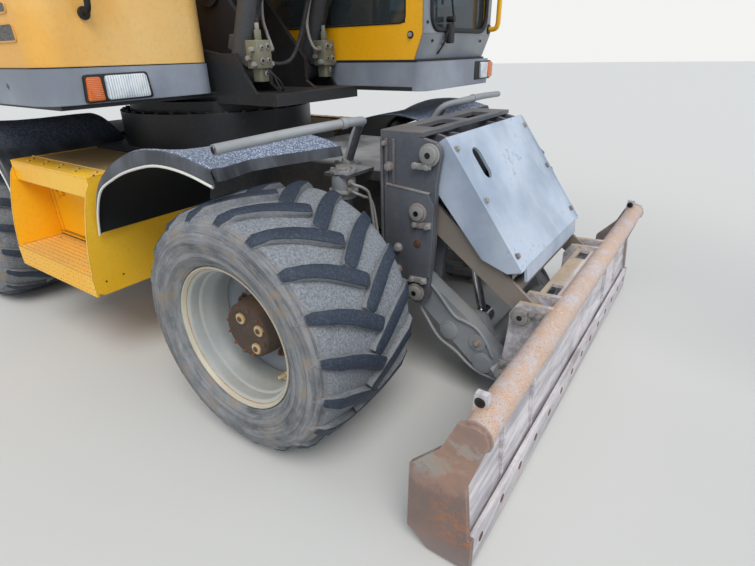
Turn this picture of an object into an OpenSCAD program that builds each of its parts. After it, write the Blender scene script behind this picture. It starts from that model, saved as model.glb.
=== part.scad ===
// Wheeled excavator with a two-piece boom and a dozer blade.
// X points forward, Y to the machine's left and Z up. The ground is at Z = 0.
// The pieces are drawn around the swing axis and then moved to the middle of the machine.

/* [Undercarriage] */
// Swing axis to the front axle
front_axle = 1450; // [1400:10:1550]
// Swing axis to the rear axle
rear_axle = 1150; // [1050:10:1250]
// Middle of each wheel from the machine's centre plane
wheel_y = 985; // [975:5:1005]
// Tyre diameter over the lugs
tyre_d = 1056; // [1030:2:1080]
// Tyre width
tyre_w = 600; // [560:5:610]
// Rim diameter over its flanges
rim_d = 604; // [590:2:620]
// Kingpin from the machine's centre plane
kingpin_y = 925; // [915:5:935]
// Largest steering angle to each side
steer_limit = 26; // [10:1:26]
// Width of the main frame beam
frame_w = 640; // [560:10:700]
// Underside of the main frame beam
frame_z = 720; // [700:5:760]
// Top of the deck plates
deck_z = 1030; // [1020:2:1040]
// Outer radius of the slewing ring
ring_r = 600; // [520:10:640]
// Outer face of the step boxes
step_y = 1270; // [1250:2:1275]
// Underside of the step boxes
step_z = 449; // [420:5:500]
// Sheet thickness of the step boxes
step_t = 10; // [6:1:16]
// Highest point of the mudguards
guard_z = 1170; // [1160:2:1190]
// Thickness of the mudguards
guard_t = 8; // [5:1:12]

/* [Dozer blade] */
// Width of the blade
blade_w = 2500; // [2300:10:2550]
// Radius of the tube along the blade's top edge
blade_tube_r = 48; // [40:1:56]
// Thickness of the mouldboard
blade_t = 20; // [14:1:26]
// Ground clearance of the resting blade
blade_gap = 12; // [5:1:40]
// Outer face of the bracket that carries the blade
bracket_y = 466; // [460:1:470]
// Radius of the pins of the blade's linkage
blade_pin_r = 28; // [22:1:30]
// Blade lift from rest
blade_up = 40; // [10:1:44]
// Blade drop from rest
blade_down = 16; // [5:1:18]

/* [Upper structure] */
// Radius swept by the counterweight
tail_r = 2150; // [2050:10:2250]
// Half width of the upper structure
upper_y = 1235; // [1200:5:1250]
// Underside of the upper structure
upper_z = 1312; // [1300:2:1340]
// Top of the grey band around the housings
band_z = 1480; // [1465:5:1500]
// Top of the right housing
housing_z = 2080; // [1900:10:2200]
// Top of the engine hood
hood_z = 2280; // [2150:10:2400]
// Sheet thickness of the housings
sheet_t = 8; // [4:1:12]
// Cab wall thickness
cab_t = 45; // [35:1:60]
// Top of the cab
cab_z = 3130; // [3000:10:3200]
// Front of the cab
cab_front = 1350; // [1300:10:1400]
// Inner side of the cab
cab_in = 345; // [342:1:360]
// Outer side of the cab
cab_out = 1250; // [1220:2:1256]
// Thickness of the panes
glass_t = 6; // [4:1:10]

/* [Boom and stick] */
// Length of the base boom between its pins
base_len = 2350; // [2250:10:2450]
// Angle of the base boom above the horizontal
base_angle = 58; // [57:1:60]
// Length of the upper boom between its pins
upper_len = 2750; // [2650:10:2850]
// Angle of the upper boom above the horizontal
upper_angle = 0; // [-1:1:3]
// Length of the stick between its pins
stick_len = 2200; // [2160:10:2240]
// Angle of the hanging stick
stick_angle = 280; // [278:1:284]
// Half width of the base boom
boom_y = 130; // [115:1:140]
// Half width of the upper boom
upper_boom_y = 120; // [110:1:125]
// Half width of the stick
stick_y = 98; // [88:1:104]
// Radius of the boom's main pins
boom_pin_r = 45; // [35:1:50]
// Middle of each lift cylinder from the centre plane
lift_y = 265; // [262:1:268]
// Width of the bucket
bucket_w = 1000; // [700:10:1200]
// Plate thickness of the bucket
bucket_t = 22; // [16:1:30]
// Bucket pin to the tips of its teeth
bucket_reach = 1200; // [1150:10:1220]
// Angle of the teeth behind the line of the stick at rest
bucket_rest = 22; // [15:1:26]
// Base boom travel upwards from rest
boom_raise = 18; // [5:1:18]
// Base boom travel downwards from rest
boom_lower = 48; // [10:1:50]
// Knee travel that folds the boom
knee_fold = 26; // [5:1:26]
// Knee travel that straightens the boom
knee_open = 44; // [10:1:46]
// Stick travel outwards
stick_out = 50; // [10:1:52]
// Stick travel inwards
stick_in = 54; // [10:1:56]
// Bucket travel when it curls
bucket_curl = 83; // [10:1:84]
// Bucket travel when it dumps
bucket_dump = 42; // [10:1:44]

/* [Hidden] */
// Radial clearance of a turning or sliding fit
fit = 0.05;
// Gap between two still faces
seat_gap = 0.3;
// Gap between a moving piece and its neighbour beside a pin
side_gap = 5;
$fn = 48;
SIDES = [-1, 1];
hub_z = tyre_d / 2;

function dir(a) = [cos(a), sin(a)];
function turn(p, a) = [p[0] * cos(a) - p[1] * sin(a), p[0] * sin(a) + p[1] * cos(a)];
function local(o, a, p) = o + turn(p, a);
function angle_of(v) = atan2(v[1], v[0]);
function arc(c, r, a, n) = [for (i = [0 : n]) c + r * dir(a[0] + (a[1] - a[0]) * i / n)];
// Length of a cylinder whose eye turns about a centre by an angle
function reach(foot, eye, c, a) = norm(c + turn(eye - c, a) - foot);
function span(foot, eye, c, lo, hi) = [for (i = [0 : 24]) reach(foot, eye, c, lo + (hi - lo) * i / 24)];

// Boom geometry in the centre plane: points are [x, z]
boom_foot = [260, 1860];
lift_foot = [560, 1430];
knee = local(boom_foot, base_angle, [base_len, 0]);
lift_eye = local(boom_foot, base_angle, [base_len - 400, -120]);
adjust_foot = local(boom_foot, base_angle, [600, 330]);
stick_pin = local(knee, upper_angle, [upper_len, 0]);
adjust_eye = local(knee, upper_angle, [-150, 440]);
stick_foot = local(knee, upper_angle, [900, 330]);
bucket_pin = local(stick_pin, stick_angle, [stick_len, 0]);
stick_eye = local(stick_pin, stick_angle, [-480, 25]);
rocker_pin = local(bucket_pin, stick_angle - 180, [430, -20]);
bucket_foot = local(bucket_pin, stick_angle - 180, [stick_len - 500, -280]);
// The bucket is drawn with its floor flat and its teeth at tip_angle, then turned by bucket_turn
bucket_depth = 745;
tip_angle = 180 + asin(bucket_depth / bucket_reach);
bucket_turn = stick_angle - bucket_rest - tip_angle;
link_local = 395 * dir(tip_angle + 124);
link_pin = bucket_pin + turn(link_local, bucket_turn);
rocker_len = 430;
link_len = 424;
rocker_span = link_pin - rocker_pin;
rocker_along = (rocker_len * rocker_len - link_len * link_len + rocker_span * rocker_span)
    / (2 * norm(rocker_span));
rocker_eye = local(rocker_pin, angle_of(rocker_span),
    [rocker_along, sqrt(rocker_len * rocker_len - rocker_along * rocker_along)]);
rocker_eye_r = 70;
// Section of the bucket about its pin, with its floor flat: lip, floor, round back and top
lip = bucket_reach * dir(tip_angle);
bowl_r = 400;
heel_c = [-60, bowl_r - bucket_depth];
function bowl(t) = concat([lip + [0, t]], [for (i = [0 : 8]) heel_c + (bowl_r - t) * dir(270 + 88 * i / 8)],
    [[170 - t, -165 - t], [-140, -120 - t]]);
// The bucket's back reaches furthest forward and the counterweight furthest back
bucket_front = max([for (corner = bowl(0)) (bucket_pin + turn(corner, bucket_turn))[0]]);
mid_x = (bucket_front - tail_r) / 2;

// Blade linkage in the centre plane
blade_upper_pin = [front_axle + 420, 1141];
blade_link_pin = [front_axle + 372, 893];
blade_arm_pin = [front_axle + 367, 512];
blade_lug = [front_axle + 861, 529];
blade_foot = [front_axle + 816, 222];
blade_rod_eye = [front_axle + 620, 365];
blade_front = front_axle + 1017;

// Slab between [low, high] pairs along x, y and z
module slab(x, y, z) {
    translate([x[0], y[0], z[0]]) cube([x[1] - x[0], y[1] - y[0], z[1] - z[0]]);
}
// Outline in x and z, drawn between two y values
module plate(y) {
    translate([0, y[1], 0]) rotate([90, 0, 0]) linear_extrude(y[1] - y[0]) children();
}
// Outline in x and y, drawn between two z values
module plan(z) {
    translate([0, 0, z[0]]) linear_extrude(z[1] - z[0]) children();
}
// Round bar along y at [x, z]
module pin(at, y, r) {
    translate([at[0], y[1], at[1]]) rotate([90, 0, 0]) cylinder(r = r, h = y[1] - y[0]);
}
// Round bar between two points in space
module bar(a, b, r) {
    d = b - a;
    translate(a) rotate([0, acos(d[2] / norm(d)), atan2(d[1], d[0])]) cylinder(r = r, h = norm(d));
}
// Bent round bar through a list of points
module bent_bar(points, r) {
    for (i = [1 : len(points) - 1]) bar(points[i - 1], points[i], r);
    for (i = [1 : len(points) - 2]) translate(points[i]) sphere(r = r + 0.4);
}
module both_sides() {
    children();
    mirror([0, 1, 0]) children();
}
// Local frame with x from a point [x, z] along an angle in the centre plane
module along(at, a) {
    translate([at[0], 0, at[1]]) rotate([0, -a, 0]) children();
}
// Slab with rounded upright edges
module rounded_slab(x, y, z, r) {
    slab([x[0] + r, x[1] - r], y, z);
    slab(x, [y[0] + r, y[1] - r], z);
    for (cx = [x[0] + r, x[1] - r], cy = [y[0] + r, y[1] - r]) translate([cx, cy, z[0]]) cylinder(r = r, h = z[1] - z[0]);
}
// Straight link outline with round ends, thickness drawn along y
module link_plate(a, b, y, ra, rb) {
    d = b - a;
    n = norm(d);
    lean = asin((ra - rb) / n);
    // The straight edges lie a little inside the round ends
    ha = ra * cos(lean) - 2;
    hb = rb * cos(lean) - 2;
    p = [[ra * sin(lean), ha], [n + rb * sin(lean), hb], [n + rb * sin(lean), -hb], [ra * sin(lean), -ha]];
    along(a, angle_of(d)) {
        plate(y) polygon(p);
        pin([0, 0], y, ra);
        pin([n, 0], y, rb);
    }
}

// Hydraulic cylinder barrel from its foot towards its eye, with a bore for the rod.
// lengths is [rest, shortest, longest], y its middle, r its radius, rod the rod's radius.
module barrel(foot, eye, lengths, y, r, rod, eye_r, eye_w, port = 1) {
    head = lengths[1] - eye_r - 40;
    translate([0, y, 0]) along(foot, angle_of(eye - foot)) difference() {
        union() {
            pin([0, 0], [-eye_w / 2, eye_w / 2], eye_r);
            rotate([0, 90, 0]) cylinder(r = r * 0.8, h = head / 2);
            translate([eye_r + 12, 0, 0]) rotate([0, 90, 0]) cylinder(r = r, h = head - eye_r - 12);
            translate([head - 70, 0, 0]) rotate([0, 90, 0]) cylinder(r = r + 7, h = 70);
            // Oil ports and the pipe between them
            mirror([0, 0, port > 0 ? 0 : 1]) {
                slab([eye_r + 30, eye_r + 100], [-r * 0.45, r * 0.45], [r * 0.6, r + 32]);
                slab([head - 160, head - 100], [-r * 0.4, r * 0.4], [r * 0.6, r + 28]);
                translate([eye_r + 60, 0, r + 16]) rotate([0, 90, 0]) cylinder(r = 10, h = head - eye_r - 180);
            }
        }
        translate([eye_r + 25, 0, 0]) rotate([0, 90, 0]) cylinder(r = rod + fit, h = head);
    }
}
// Rod of a cylinder, with its eye and the short pin in it.
// spare is left between the rod and the bottom of its bore at the shortest length.
module rod(foot, eye, lengths, y, rod, foot_r, eye_r, eye_w, pin_w, spare = 45) {
    inner = lengths[0] - lengths[1] + foot_r + spare;
    translate([0, y, 0]) along(foot, angle_of(eye - foot)) {
        translate([inner, 0, 0]) rotate([0, 90, 0]) cylinder(r = rod, h = lengths[0] - inner);
        pin([lengths[0], 0], [-eye_w / 2, eye_w / 2], eye_r);
        pin([lengths[0], 0], [-pin_w / 2, pin_w / 2], eye_r * 0.55);
    }
}
function lengths(foot, eye, c, lo, hi) = [norm(eye - foot), min(span(foot, eye, c, lo, hi)), max(span(foot, eye, c, lo, hi))];
lift_l = lengths(lift_foot, lift_eye, boom_foot, -boom_lower, boom_raise);
adjust_l = lengths(adjust_foot, adjust_eye, knee, -knee_fold, knee_open);
stick_l = lengths(stick_foot, stick_eye, stick_pin, -stick_in, stick_out);
blade_l = lengths(blade_upper_pin, blade_rod_eye, blade_arm_pin, -blade_down, blade_up);
// Travel of the bucket rod on each side of rest
bucket_l = [for (travel = [0, -255, 475]) norm(rocker_eye - bucket_foot) + travel];

// Upright hinge: the fixed half is a pin on a lug, the moving half a knuckle around it.
// side is 1 for a door that lies towards +x of the pin, out 1 for a skin that faces +y.
hinge_r = 14;
module hinge_pin(at, zs, side, out) {
    for (z = zs) {
        translate([at[0], at[1], z - 16]) cylinder(r = 7, h = 84);
        translate([at[0], at[1], z - 16]) cylinder(r = hinge_r, h = 16 - seat_gap);
        slab(side > 0 ? [at[0] - 34, at[0]] : [at[0], at[0] + 34], out > 0 ? [at[1] - 20, at[1] + 4] : [at[1] - 4, at[1] + 20],
            [z - 16, z - seat_gap]);
    }
}
module hinge_knuckle(at, zs, side, out) {
    for (z = zs) difference() {
        union() {
            translate([at[0], at[1], z]) cylinder(r = hinge_r, h = 60);
            slab(side > 0 ? [at[0], at[0] + 44] : [at[0] - 44, at[0]], out > 0 ? [at[1] - 20, at[1] + 4] : [at[1] - 4, at[1] + 20],
                [z, z + 60]);
        }
        translate([at[0], at[1], z - 1]) cylinder(r = 7 + fit, h = 62);
    }
}
module place() {
    translate([-mid_x, 0, 0]) children();
}

/* Undercarriage */
turret_w = 2 * ring_r + 80;
frame_front = front_axle + 175;
frame_rear = -(rear_axle + 330);
hitch_r = 21;
module chassis_frame() place() color("dimgray") {
    difference() {
        union() {
            slab([frame_rear, frame_front], [-frame_w / 2, frame_w / 2], [frame_z, deck_z - 45]);
            plan([frame_z + 60, deck_z - 20]) polygon([[-760, -320], [-420, -turret_w / 2], [420, -turret_w / 2],
                [760, -320], [760, 320], [420, turret_w / 2], [-420, turret_w / 2], [-760, 320]]);
            translate([0, 0, frame_z + 60]) cylinder(r = ring_r + 35, h = deck_z - frame_z - 60);
            slab([760, frame_front], [-410, 410], [deck_z - 45, deck_z]);
            slab([frame_rear, -760], [-410, 410], [deck_z - 45, deck_z]);
            slab([frame_rear - 20, frame_rear], [-400, 400], [frame_z - 40, deck_z]);
            // Outriggers that carry the step boxes
            for (x = [-250, 300]) slab([x, x + 70], [-box_in + seat_gap, box_in - seat_gap], [frame_z + 60, frame_z + 160]);
            // Hitch jaw
            for (z = [frame_z - 20, frame_z + 70]) slab([frame_rear - 130, frame_rear], [-70, 70], [z, z + 30]);
        }
        cylinder(r = ring_r - 130, h = deck_z + 10);
        translate([frame_rear - 75, 0, 0]) cylinder(r = hitch_r, h = deck_z);
    }
    // Cylinders that lock the front axle, and their carriers
    both_sides() {
        slab([front_axle - 40, front_axle + 90], [400, 600], [deck_z, deck_z + 14]);
        translate([front_axle + 28, 550, 850]) cylinder(r = 44, h = deck_z - 850);
        translate([front_axle + 28, 550, hub_z + 130 + seat_gap]) cylinder(r = 26, h = 300);
        translate([front_axle + 28, 550, deck_z + 14]) cylinder(r = 30, h = 20);
        bent_bar([[front_axle + 16, 1203, guard_z + 70], [front_axle + 60, 860, guard_z + 84],
            [front_axle + 102, 568, guard_z + 90], [front_axle + 20, 400, guard_z + 60],
            [front_axle - 82, 380, deck_z - 10]], 17);
    }
}
module slew_ring() place() color("#3a3a3c") {
    difference() {
        translate([0, 0, deck_z]) cylinder(r = ring_r, h = upper_z - 90 - deck_z);
        cylinder(r = ring_r - 130, h = upper_z);
    }
}

// Step boxes on both sides, the right one with a tool locker
box_x = [-340, 474];
box_in = 700;
locker_x = [-290, 330];
locker_y = step_y - 240;
tread_z = step_z + 110;
locker_z = [tread_z + 30, deck_z - 150];
module step_side() {
    // End plates with a bowed outer edge
    for (x = [box_x[0], box_x[1] - step_t]) translate([x + step_t, 0, 0]) rotate([0, -90, 0])
        linear_extrude(step_t) polygon(concat([[step_z, box_in - 140], [step_z, step_y - 40]],
            [for (i = [0 : 5]) [step_z + 20 + (deck_z - 90 - step_z) * i / 5, step_y - 80 * pow(i / 5, 2)]],
            [[deck_z - 5, step_y - 122], [deck_z - 5, box_in]]));
    // Lower tread, upper tread and lower front
    slab([box_x[0], box_x[1]], [locker_y - 30, step_y], [tread_z - step_t, tread_z]);
    slab([box_x[0], box_x[1]], [step_y - step_t, step_y], [step_z, tread_z]);
    slab([box_x[0], box_x[1]], [box_in, step_y - 100], [deck_z - step_t - 12, deck_z - 12]);
    slab([box_x[0], box_x[1]], [step_y - 110, step_y - 100], [deck_z - 110, deck_z - 12]);
    // Locker: floor, back and top
    slab([box_x[0], box_x[1]], [box_in, locker_y - 30], [tread_z - step_t, tread_z]);
    slab([box_x[0], box_x[1]], [box_in, box_in + step_t], [tread_z - step_t, deck_z - 12]);
    // Locker front around its opening
    difference() {
        slab([box_x[0], box_x[1]], [locker_y - step_t, locker_y], [tread_z - step_t, deck_z - 12]);
        slab(locker_x, [locker_y - 40, locker_y + 40], locker_z);
    }
}
// Hinge of the locker's door: [distance from the centre plane, height], and where its two halves start
locker_hinge = [locker_y + 9, locker_z[1] + 12];
locker_hinge_x = [locker_x[0] + 80, locker_x[1] - 140];
module hinge_bar(x, r) {
    translate([x[0], -locker_hinge[0], locker_hinge[1]]) rotate([0, 90, 0]) cylinder(r = r, h = x[1] - x[0]);
}
module step_boxes() place() color("gold") {
    both_sides() step_side();
    for (x = locker_hinge_x) {
        slab([x, x + 18], [-locker_y - 18, -locker_y], [locker_hinge[1] - 9, locker_hinge[1] + 9]);
        hinge_bar([x, x + 62], 5);
    }
}
module toolbox_door() place() color("gold") {
    g = side_gap;
    for (x = locker_hinge_x) {
        difference() {
            hinge_bar([x + 18 + seat_gap, x + 60], 9);
            hinge_bar([x, x + 70], 5 + fit);
        }
        slab([x + 20, x + 60], [-locker_y - 14, -locker_y - 9], [locker_z[1] - 60, locker_hinge[1] - 6]);
        slab([x + 20, x + 60], [-locker_y - 14, -locker_y + 2], [locker_z[1] - 60, locker_z[1] - 14]);
    }
    slab([locker_x[0] + g, locker_x[1] - g], [-locker_y, -locker_y + 22], [locker_z[0] + g, locker_z[1] - g]);
    translate([locker_x[0] + 70, -locker_y, locker_z[1] - 60]) rotate([90, 0, 0]) cylinder(r = 22, h = 12);
}

// Axles and steering
arm_eye = [-185, -175];
tie_z = hub_z + 124;
rod_ball_y = 445;
module axle_core(r_mid) {
    // Banjo housing in the middle of the beam
    rotate([90, 0, 0]) translate([0, 0, -170]) cylinder(r = r_mid, h = 340);
    for (s = SIDES) translate([0, s * 170, 0]) rotate([-90 * s, 0, 0]) cylinder(r1 = r_mid, r2 = 90, h = 160);
}
module front_axle_beam() {
    translate([front_axle, 0, hub_z]) {
        difference() {
            union() {
                axle_core(165);
                rotate([90, 0, 0]) translate([0, 0, -(kingpin_y - 185)]) cylinder(r = 90, h = 2 * (kingpin_y - 185));
                both_sides() {
                    // Fork that holds the kingpins
                    slab([-32, 32], [kingpin_y - 190, kingpin_y - 150], [-190, 190]);
                    for (z = [-190, 150]) {
                        slab([-32, 32], [kingpin_y - 190, kingpin_y], [z, z + 40]);
                        translate([0, kingpin_y, z]) cylinder(r = 50, h = 40);
                    }
                    // Pad under the lock cylinder
                    slab([-30, 90], [505, 595], [60, 130]);
                }
                // Pivot of the beam under the frame
                rotate([0, 90, 0]) translate([0, 0, -170]) cylinder(r = 75, h = 340);
                for (x = [-170, 130]) slab([x, x + 40], [-120, 120], [0, frame_z - hub_z - seat_gap]);
                // Carriers of the steering cylinder
                for (s = SIDES) slab([-235, -60], [s * 230 - 20, s * 230 + 20], [70, 150]);
            }
            both_sides() translate([0, kingpin_y, -200]) cylinder(r = 30 + fit, h = 400);
            translate([arm_eye[0], 400, tie_z - hub_z]) rotate([90, 0, 0]) cylinder(r = 20 + fit, h = 800);
        }
        difference() {
            translate([arm_eye[0], 290, tie_z - hub_z]) rotate([90, 0, 0]) cylinder(r = 42, h = 580);
            translate([arm_eye[0], 400, tie_z - hub_z]) rotate([90, 0, 0]) cylinder(r = 20 + fit, h = 800);
        }
    }
}
module front_axle() place() color("#2e2e30") front_axle_beam();
spindle_r = 45;
hub_in = 8;
disc_in = 60;
module rear_axle() place() color("#2e2e30") {
    translate([-rear_axle, 0, hub_z]) {
        axle_core(190);
        rotate([90, 0, 0]) translate([0, 0, -(wheel_y - 30)]) cylinder(r = 90, h = 2 * (wheel_y - 30));
        both_sides() {
            translate([0, wheel_y + hub_in - 20, 0]) rotate([90, 0, 0]) cylinder(r = 120, h = 40);
            translate([0, wheel_y + 118, 0]) rotate([90, 0, 0]) cylinder(r = spindle_r, h = 180);
            slab([-90, 90], [230, 300], [0, frame_z - hub_z - seat_gap]);
        }
        // Gearbox and the shaft to the front axle
        slab([150, 420], [-140, 140], [-60, 150]);
    }
    bar([-rear_axle + 400, 0, hub_z + 40], [front_axle - 172, 0, hub_z + 10], 38);
}
// Knuckle for the left side, drawn at its own kingpin
module knuckle() {
    translate([front_axle, kingpin_y, hub_z]) {
        translate([0, 0, -190]) cylinder(r = 30, h = 380);
        translate([0, 0, -150 + side_gap]) cylinder(r = 58, h = 300 - 2 * side_gap);
        out = wheel_y - kingpin_y;
        rotate([-90, 0, 0]) cylinder(r = 60, h = out);
        translate([0, out - 8, 0]) rotate([-90, 0, 0]) cylinder(r = 110, h = 12);
        translate([0, out, 0]) rotate([-90, 0, 0]) cylinder(r = spindle_r, h = 118);
        // Steering arm
        plan([85, 105]) difference() {
            union() {
                polygon([[-20, 50], [-70, 20], arm_eye + [-22, -6], arm_eye + [20, -10], [-40, -50]]);
                translate(arm_eye) circle(r = 28);
            }
            translate(arm_eye) circle(r = 12 + fit);
        }
    }
}
module knuckle_left() place() color("#2e2e30") knuckle();
module knuckle_right() place() color("#2e2e30") mirror([0, 1, 0]) knuckle();
module tie_rod() {
    translate([front_axle + arm_eye[0], 0, 0]) {
        y = kingpin_y + arm_eye[1];
        translate([0, y, hub_z + 80]) cylinder(r = 12, h = tie_z - hub_z - 80);
        translate([0, y, hub_z + 110]) cylinder(r = 24, h = 28);
        bar([0, y, tie_z], [0, rod_ball_y + 48, tie_z], 13);
        translate([0, rod_ball_y + 48, tie_z]) sphere(r = 20);
    }
}
module tie_rod_left() place() color("dimgray") tie_rod();
module tie_rod_right() place() color("dimgray") mirror([0, 1, 0]) tie_rod();
module steering_rod() place() color("silver") {
    translate([front_axle + arm_eye[0], rod_ball_y, tie_z]) rotate([90, 0, 0]) cylinder(r = 20, h = 2 * rod_ball_y);
}

// Wheels are drawn about their own axle with the outer face towards +y
sidewall_r = 130;
side_c = [tyre_d / 2 - 123, tyre_w / 2 - sidewall_r];
function side_arc(r, a, n) = arc(side_c, r, a, n);
function mirrored(p) = [for (i = [len(p) - 1 : -1 : 0]) [p[i][0], -p[i][1]]];
module ring_y(points) {
    rotate([-90, 0, 0]) rotate_extrude($fn = 96) polygon(points);
}
tyre_wall = 34;
lug_h = 28;
// Lugs on each side of the tread, and the place of one of them up from straight ahead
lug_count = 19;
lug_place = 3.5;
// Middle line of a lug from its middle: angle up, distance out from the tyre's middle, half width
LUG = [[5.6, tyre_w / 2, 16], [-1.5, 130, 27], [-12, -33, 19]];
module lugs() {
    function across(end) = [for (p = LUG) [p[1], (tyre_d - lug_h) / 2 * sin(p[0]) + end * p[2]]];
    low = across(-1);
    for (i = [0 : lug_count - 1]) rotate([0, -lug_place - 360 * i / lug_count, 0]) rotate([90, 0, 90])
        translate([0, 0, tyre_d / 2 - 60]) linear_extrude(70)
            polygon(concat(across(1), [for (k = [len(low) - 1 : -1 : 0]) low[k]]));
}
module tyre() {
    // Bead in the rim, sidewall, shoulder and half of the tread's floor, then the same back inside
    outer = concat([[rim_r - 14, 205], [rim_r - 14, 244], [rim_r + 0.4, 249.5], [rim_r + 2, 262]],
        side_arc(sidewall_r, [124, 44], 5), [[tyre_d / 2 - lug_h - 4, tyre_w / 2 - 66]]);
    inner = concat([[tyre_d / 2 - 62, tyre_w / 2 - 190]], side_arc(sidewall_r - tyre_wall, [30, 118], 3),
        [[rim_r + 20, 232], [rim_r + 2, 210]]);
    ring_y(concat(outer, [[tyre_d / 2 - lug_h, 0]], mirrored(outer), mirrored(inner), inner));
    // Lugs of both sides, the inner ones half a step on, trimmed to the crown
    top = concat([[tyre_d / 2 - 45, tyre_w / 2 - 29]], side_arc(sidewall_r, [44, 28], 1), [[tyre_d / 2, 40]]);
    intersection() {
        ring_y(concat([[tyre_d / 2 - 50, tyre_w / 2 - 29]], top, mirrored(top), [[tyre_d / 2 - 50, 29 - tyre_w / 2]]));
        union() {
            lugs();
            rotate([0, -180 / lug_count, 0]) mirror([0, 1, 0]) lugs();
        }
    }
}
// Rim with its disc, hub drum and end cover
rim_r = rim_d / 2;
rim_t = 10;
hub_r = 125;
hub_out = 190;
module rim() {
    // Half outline of the barrel from its flange to the middle, then back inside
    seat = [[rim_r, 265], [rim_r, 251], [rim_r - 15, 246], [rim_r - 17, 200], [rim_r - 42, 150]];
    back = [for (i = [len(seat) - 1 : -1 : 0]) seat[i] - [rim_t, i > 2 ? -4 : i > 0 ? -8 : -2]];
    ring_y(concat(seat, mirrored(seat), mirrored(back), back));
    difference() {
        ring_y([[spindle_r + fit, hub_in], [100, hub_in], [hub_r, disc_in - 12], [rim_r - 51, disc_in - 24],
            [rim_r - 51, disc_in - 12], [hub_r + 10, disc_in], [hub_r, disc_in], [hub_r - 5, hub_out - 12],
            [hub_r - 16, hub_out], [0, hub_out], [0, disc_in + 66], [spindle_r + fit, disc_in + 66]]);
        // Hand holes of the disc
        for (a = [0 : 45 : 315]) rotate([0, a + 22.5, 0]) translate([198, 0, 0]) rotate([-90, 0, 0])
            cylinder(r = 17, h = 200);
    }
    // Wheel studs and planet covers
    for (a = [0 : 36 : 324]) rotate([0, a, 0]) translate([hub_r + 22, disc_in - 20, 0]) rotate([-90, 0, 0])
        cylinder(r = 14, h = 36, $fn = 6);
    for (a = [30 : 120 : 270]) rotate([0, a, 0]) translate([62, hub_out - 5, 0]) rotate([-90, 0, 0])
        cylinder(r = 22, h = 18);
}
WHEELS = [["front_left", 1, 1], ["front_right", 1, -1], ["rear_left", -1, 1], ["rear_right", -1, -1]];
module at_wheel(i) {
    translate([WHEELS[i][1] > 0 ? front_axle : -rear_axle, WHEELS[i][2] * wheel_y, hub_z])
        mirror([0, WHEELS[i][2] > 0 ? 0 : 1, 0]) children();
}
module tyre_front_left() place() color("#26272a") at_wheel(0) tyre();
module tyre_front_right() place() color("#26272a") at_wheel(1) tyre();
module tyre_rear_left() place() color("#26272a") at_wheel(2) tyre();
module tyre_rear_right() place() color("#26272a") at_wheel(3) tyre();
module rim_front_left() place() color("gainsboro") at_wheel(0) rim();
module rim_front_right() place() color("gainsboro") at_wheel(1) rim();
module rim_rear_left() place() color("gainsboro") at_wheel(2) rim();
module rim_rear_right() place() color("gainsboro") at_wheel(3) rim();

// Mudguards: an arch behind the wheel, a flat top and a sloping nose, with a lip along the outer edge
arch_b = 330;
// How far each arch reaches behind its axle, and its outer edge
arch_back = [962, 800];
arch_y = 1250;
guard_in = turret_w / 2 + 20;
function guard_line(t, back) = concat([[front_axle - back + t, 770]],
    [for (i = [0 : 8]) [front_axle - 390 + (back - 390 - t) * cos(180 - 90 * i / 8),
        guard_z - arch_b + (arch_b - t) * sin(180 - 90 * i / 8)]],
    [[front_axle - 254, guard_z - t], [front_axle - 90, guard_z - 9 - t], [front_axle + 56, guard_z - 36 - t]]);
module guard_band(y, t, back) {
    a = guard_line(0, back);
    b = guard_line(t, back);
    plate(y) polygon(concat(a, [for (i = [len(b) - 1 : -1 : 0]) b[i]]));
}
module mudguard(back) {
    intersection() {
        guard_band([415, arch_y], guard_t, back);
        plan([0, 2000]) polygon([[0, guard_in], [front_axle - back + 100, guard_in], [front_axle - back + 260, 500],
            [front_axle - 330, 415], [front_axle - 110, 415],
            [front_axle - 158, 760], [front_axle - 140, 894], [front_axle - 73, 1029], [front_axle + 21, 1176],
            [front_axle + 70, 1300], [0, 1300]]);
    }
    guard_band([arch_y - guard_t, arch_y], 70, back);
    // Carrier on the deck
    slab([front_axle - 360, front_axle - 300], [360, 980], [guard_z - guard_t - 34, guard_z - guard_t + 2]);
    slab([front_axle - 360, front_axle - 300], [360, 405], [deck_z + seat_gap, guard_z - guard_t - 10]);
}
module mudguards() place() color("#2b2c2e") {
    both_sides() {
        mudguard(arch_back[0]);
        translate([front_axle - rear_axle, 0, 0]) mirror([1, 0, 0]) mudguard(arch_back[1]);
    }
}

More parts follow.
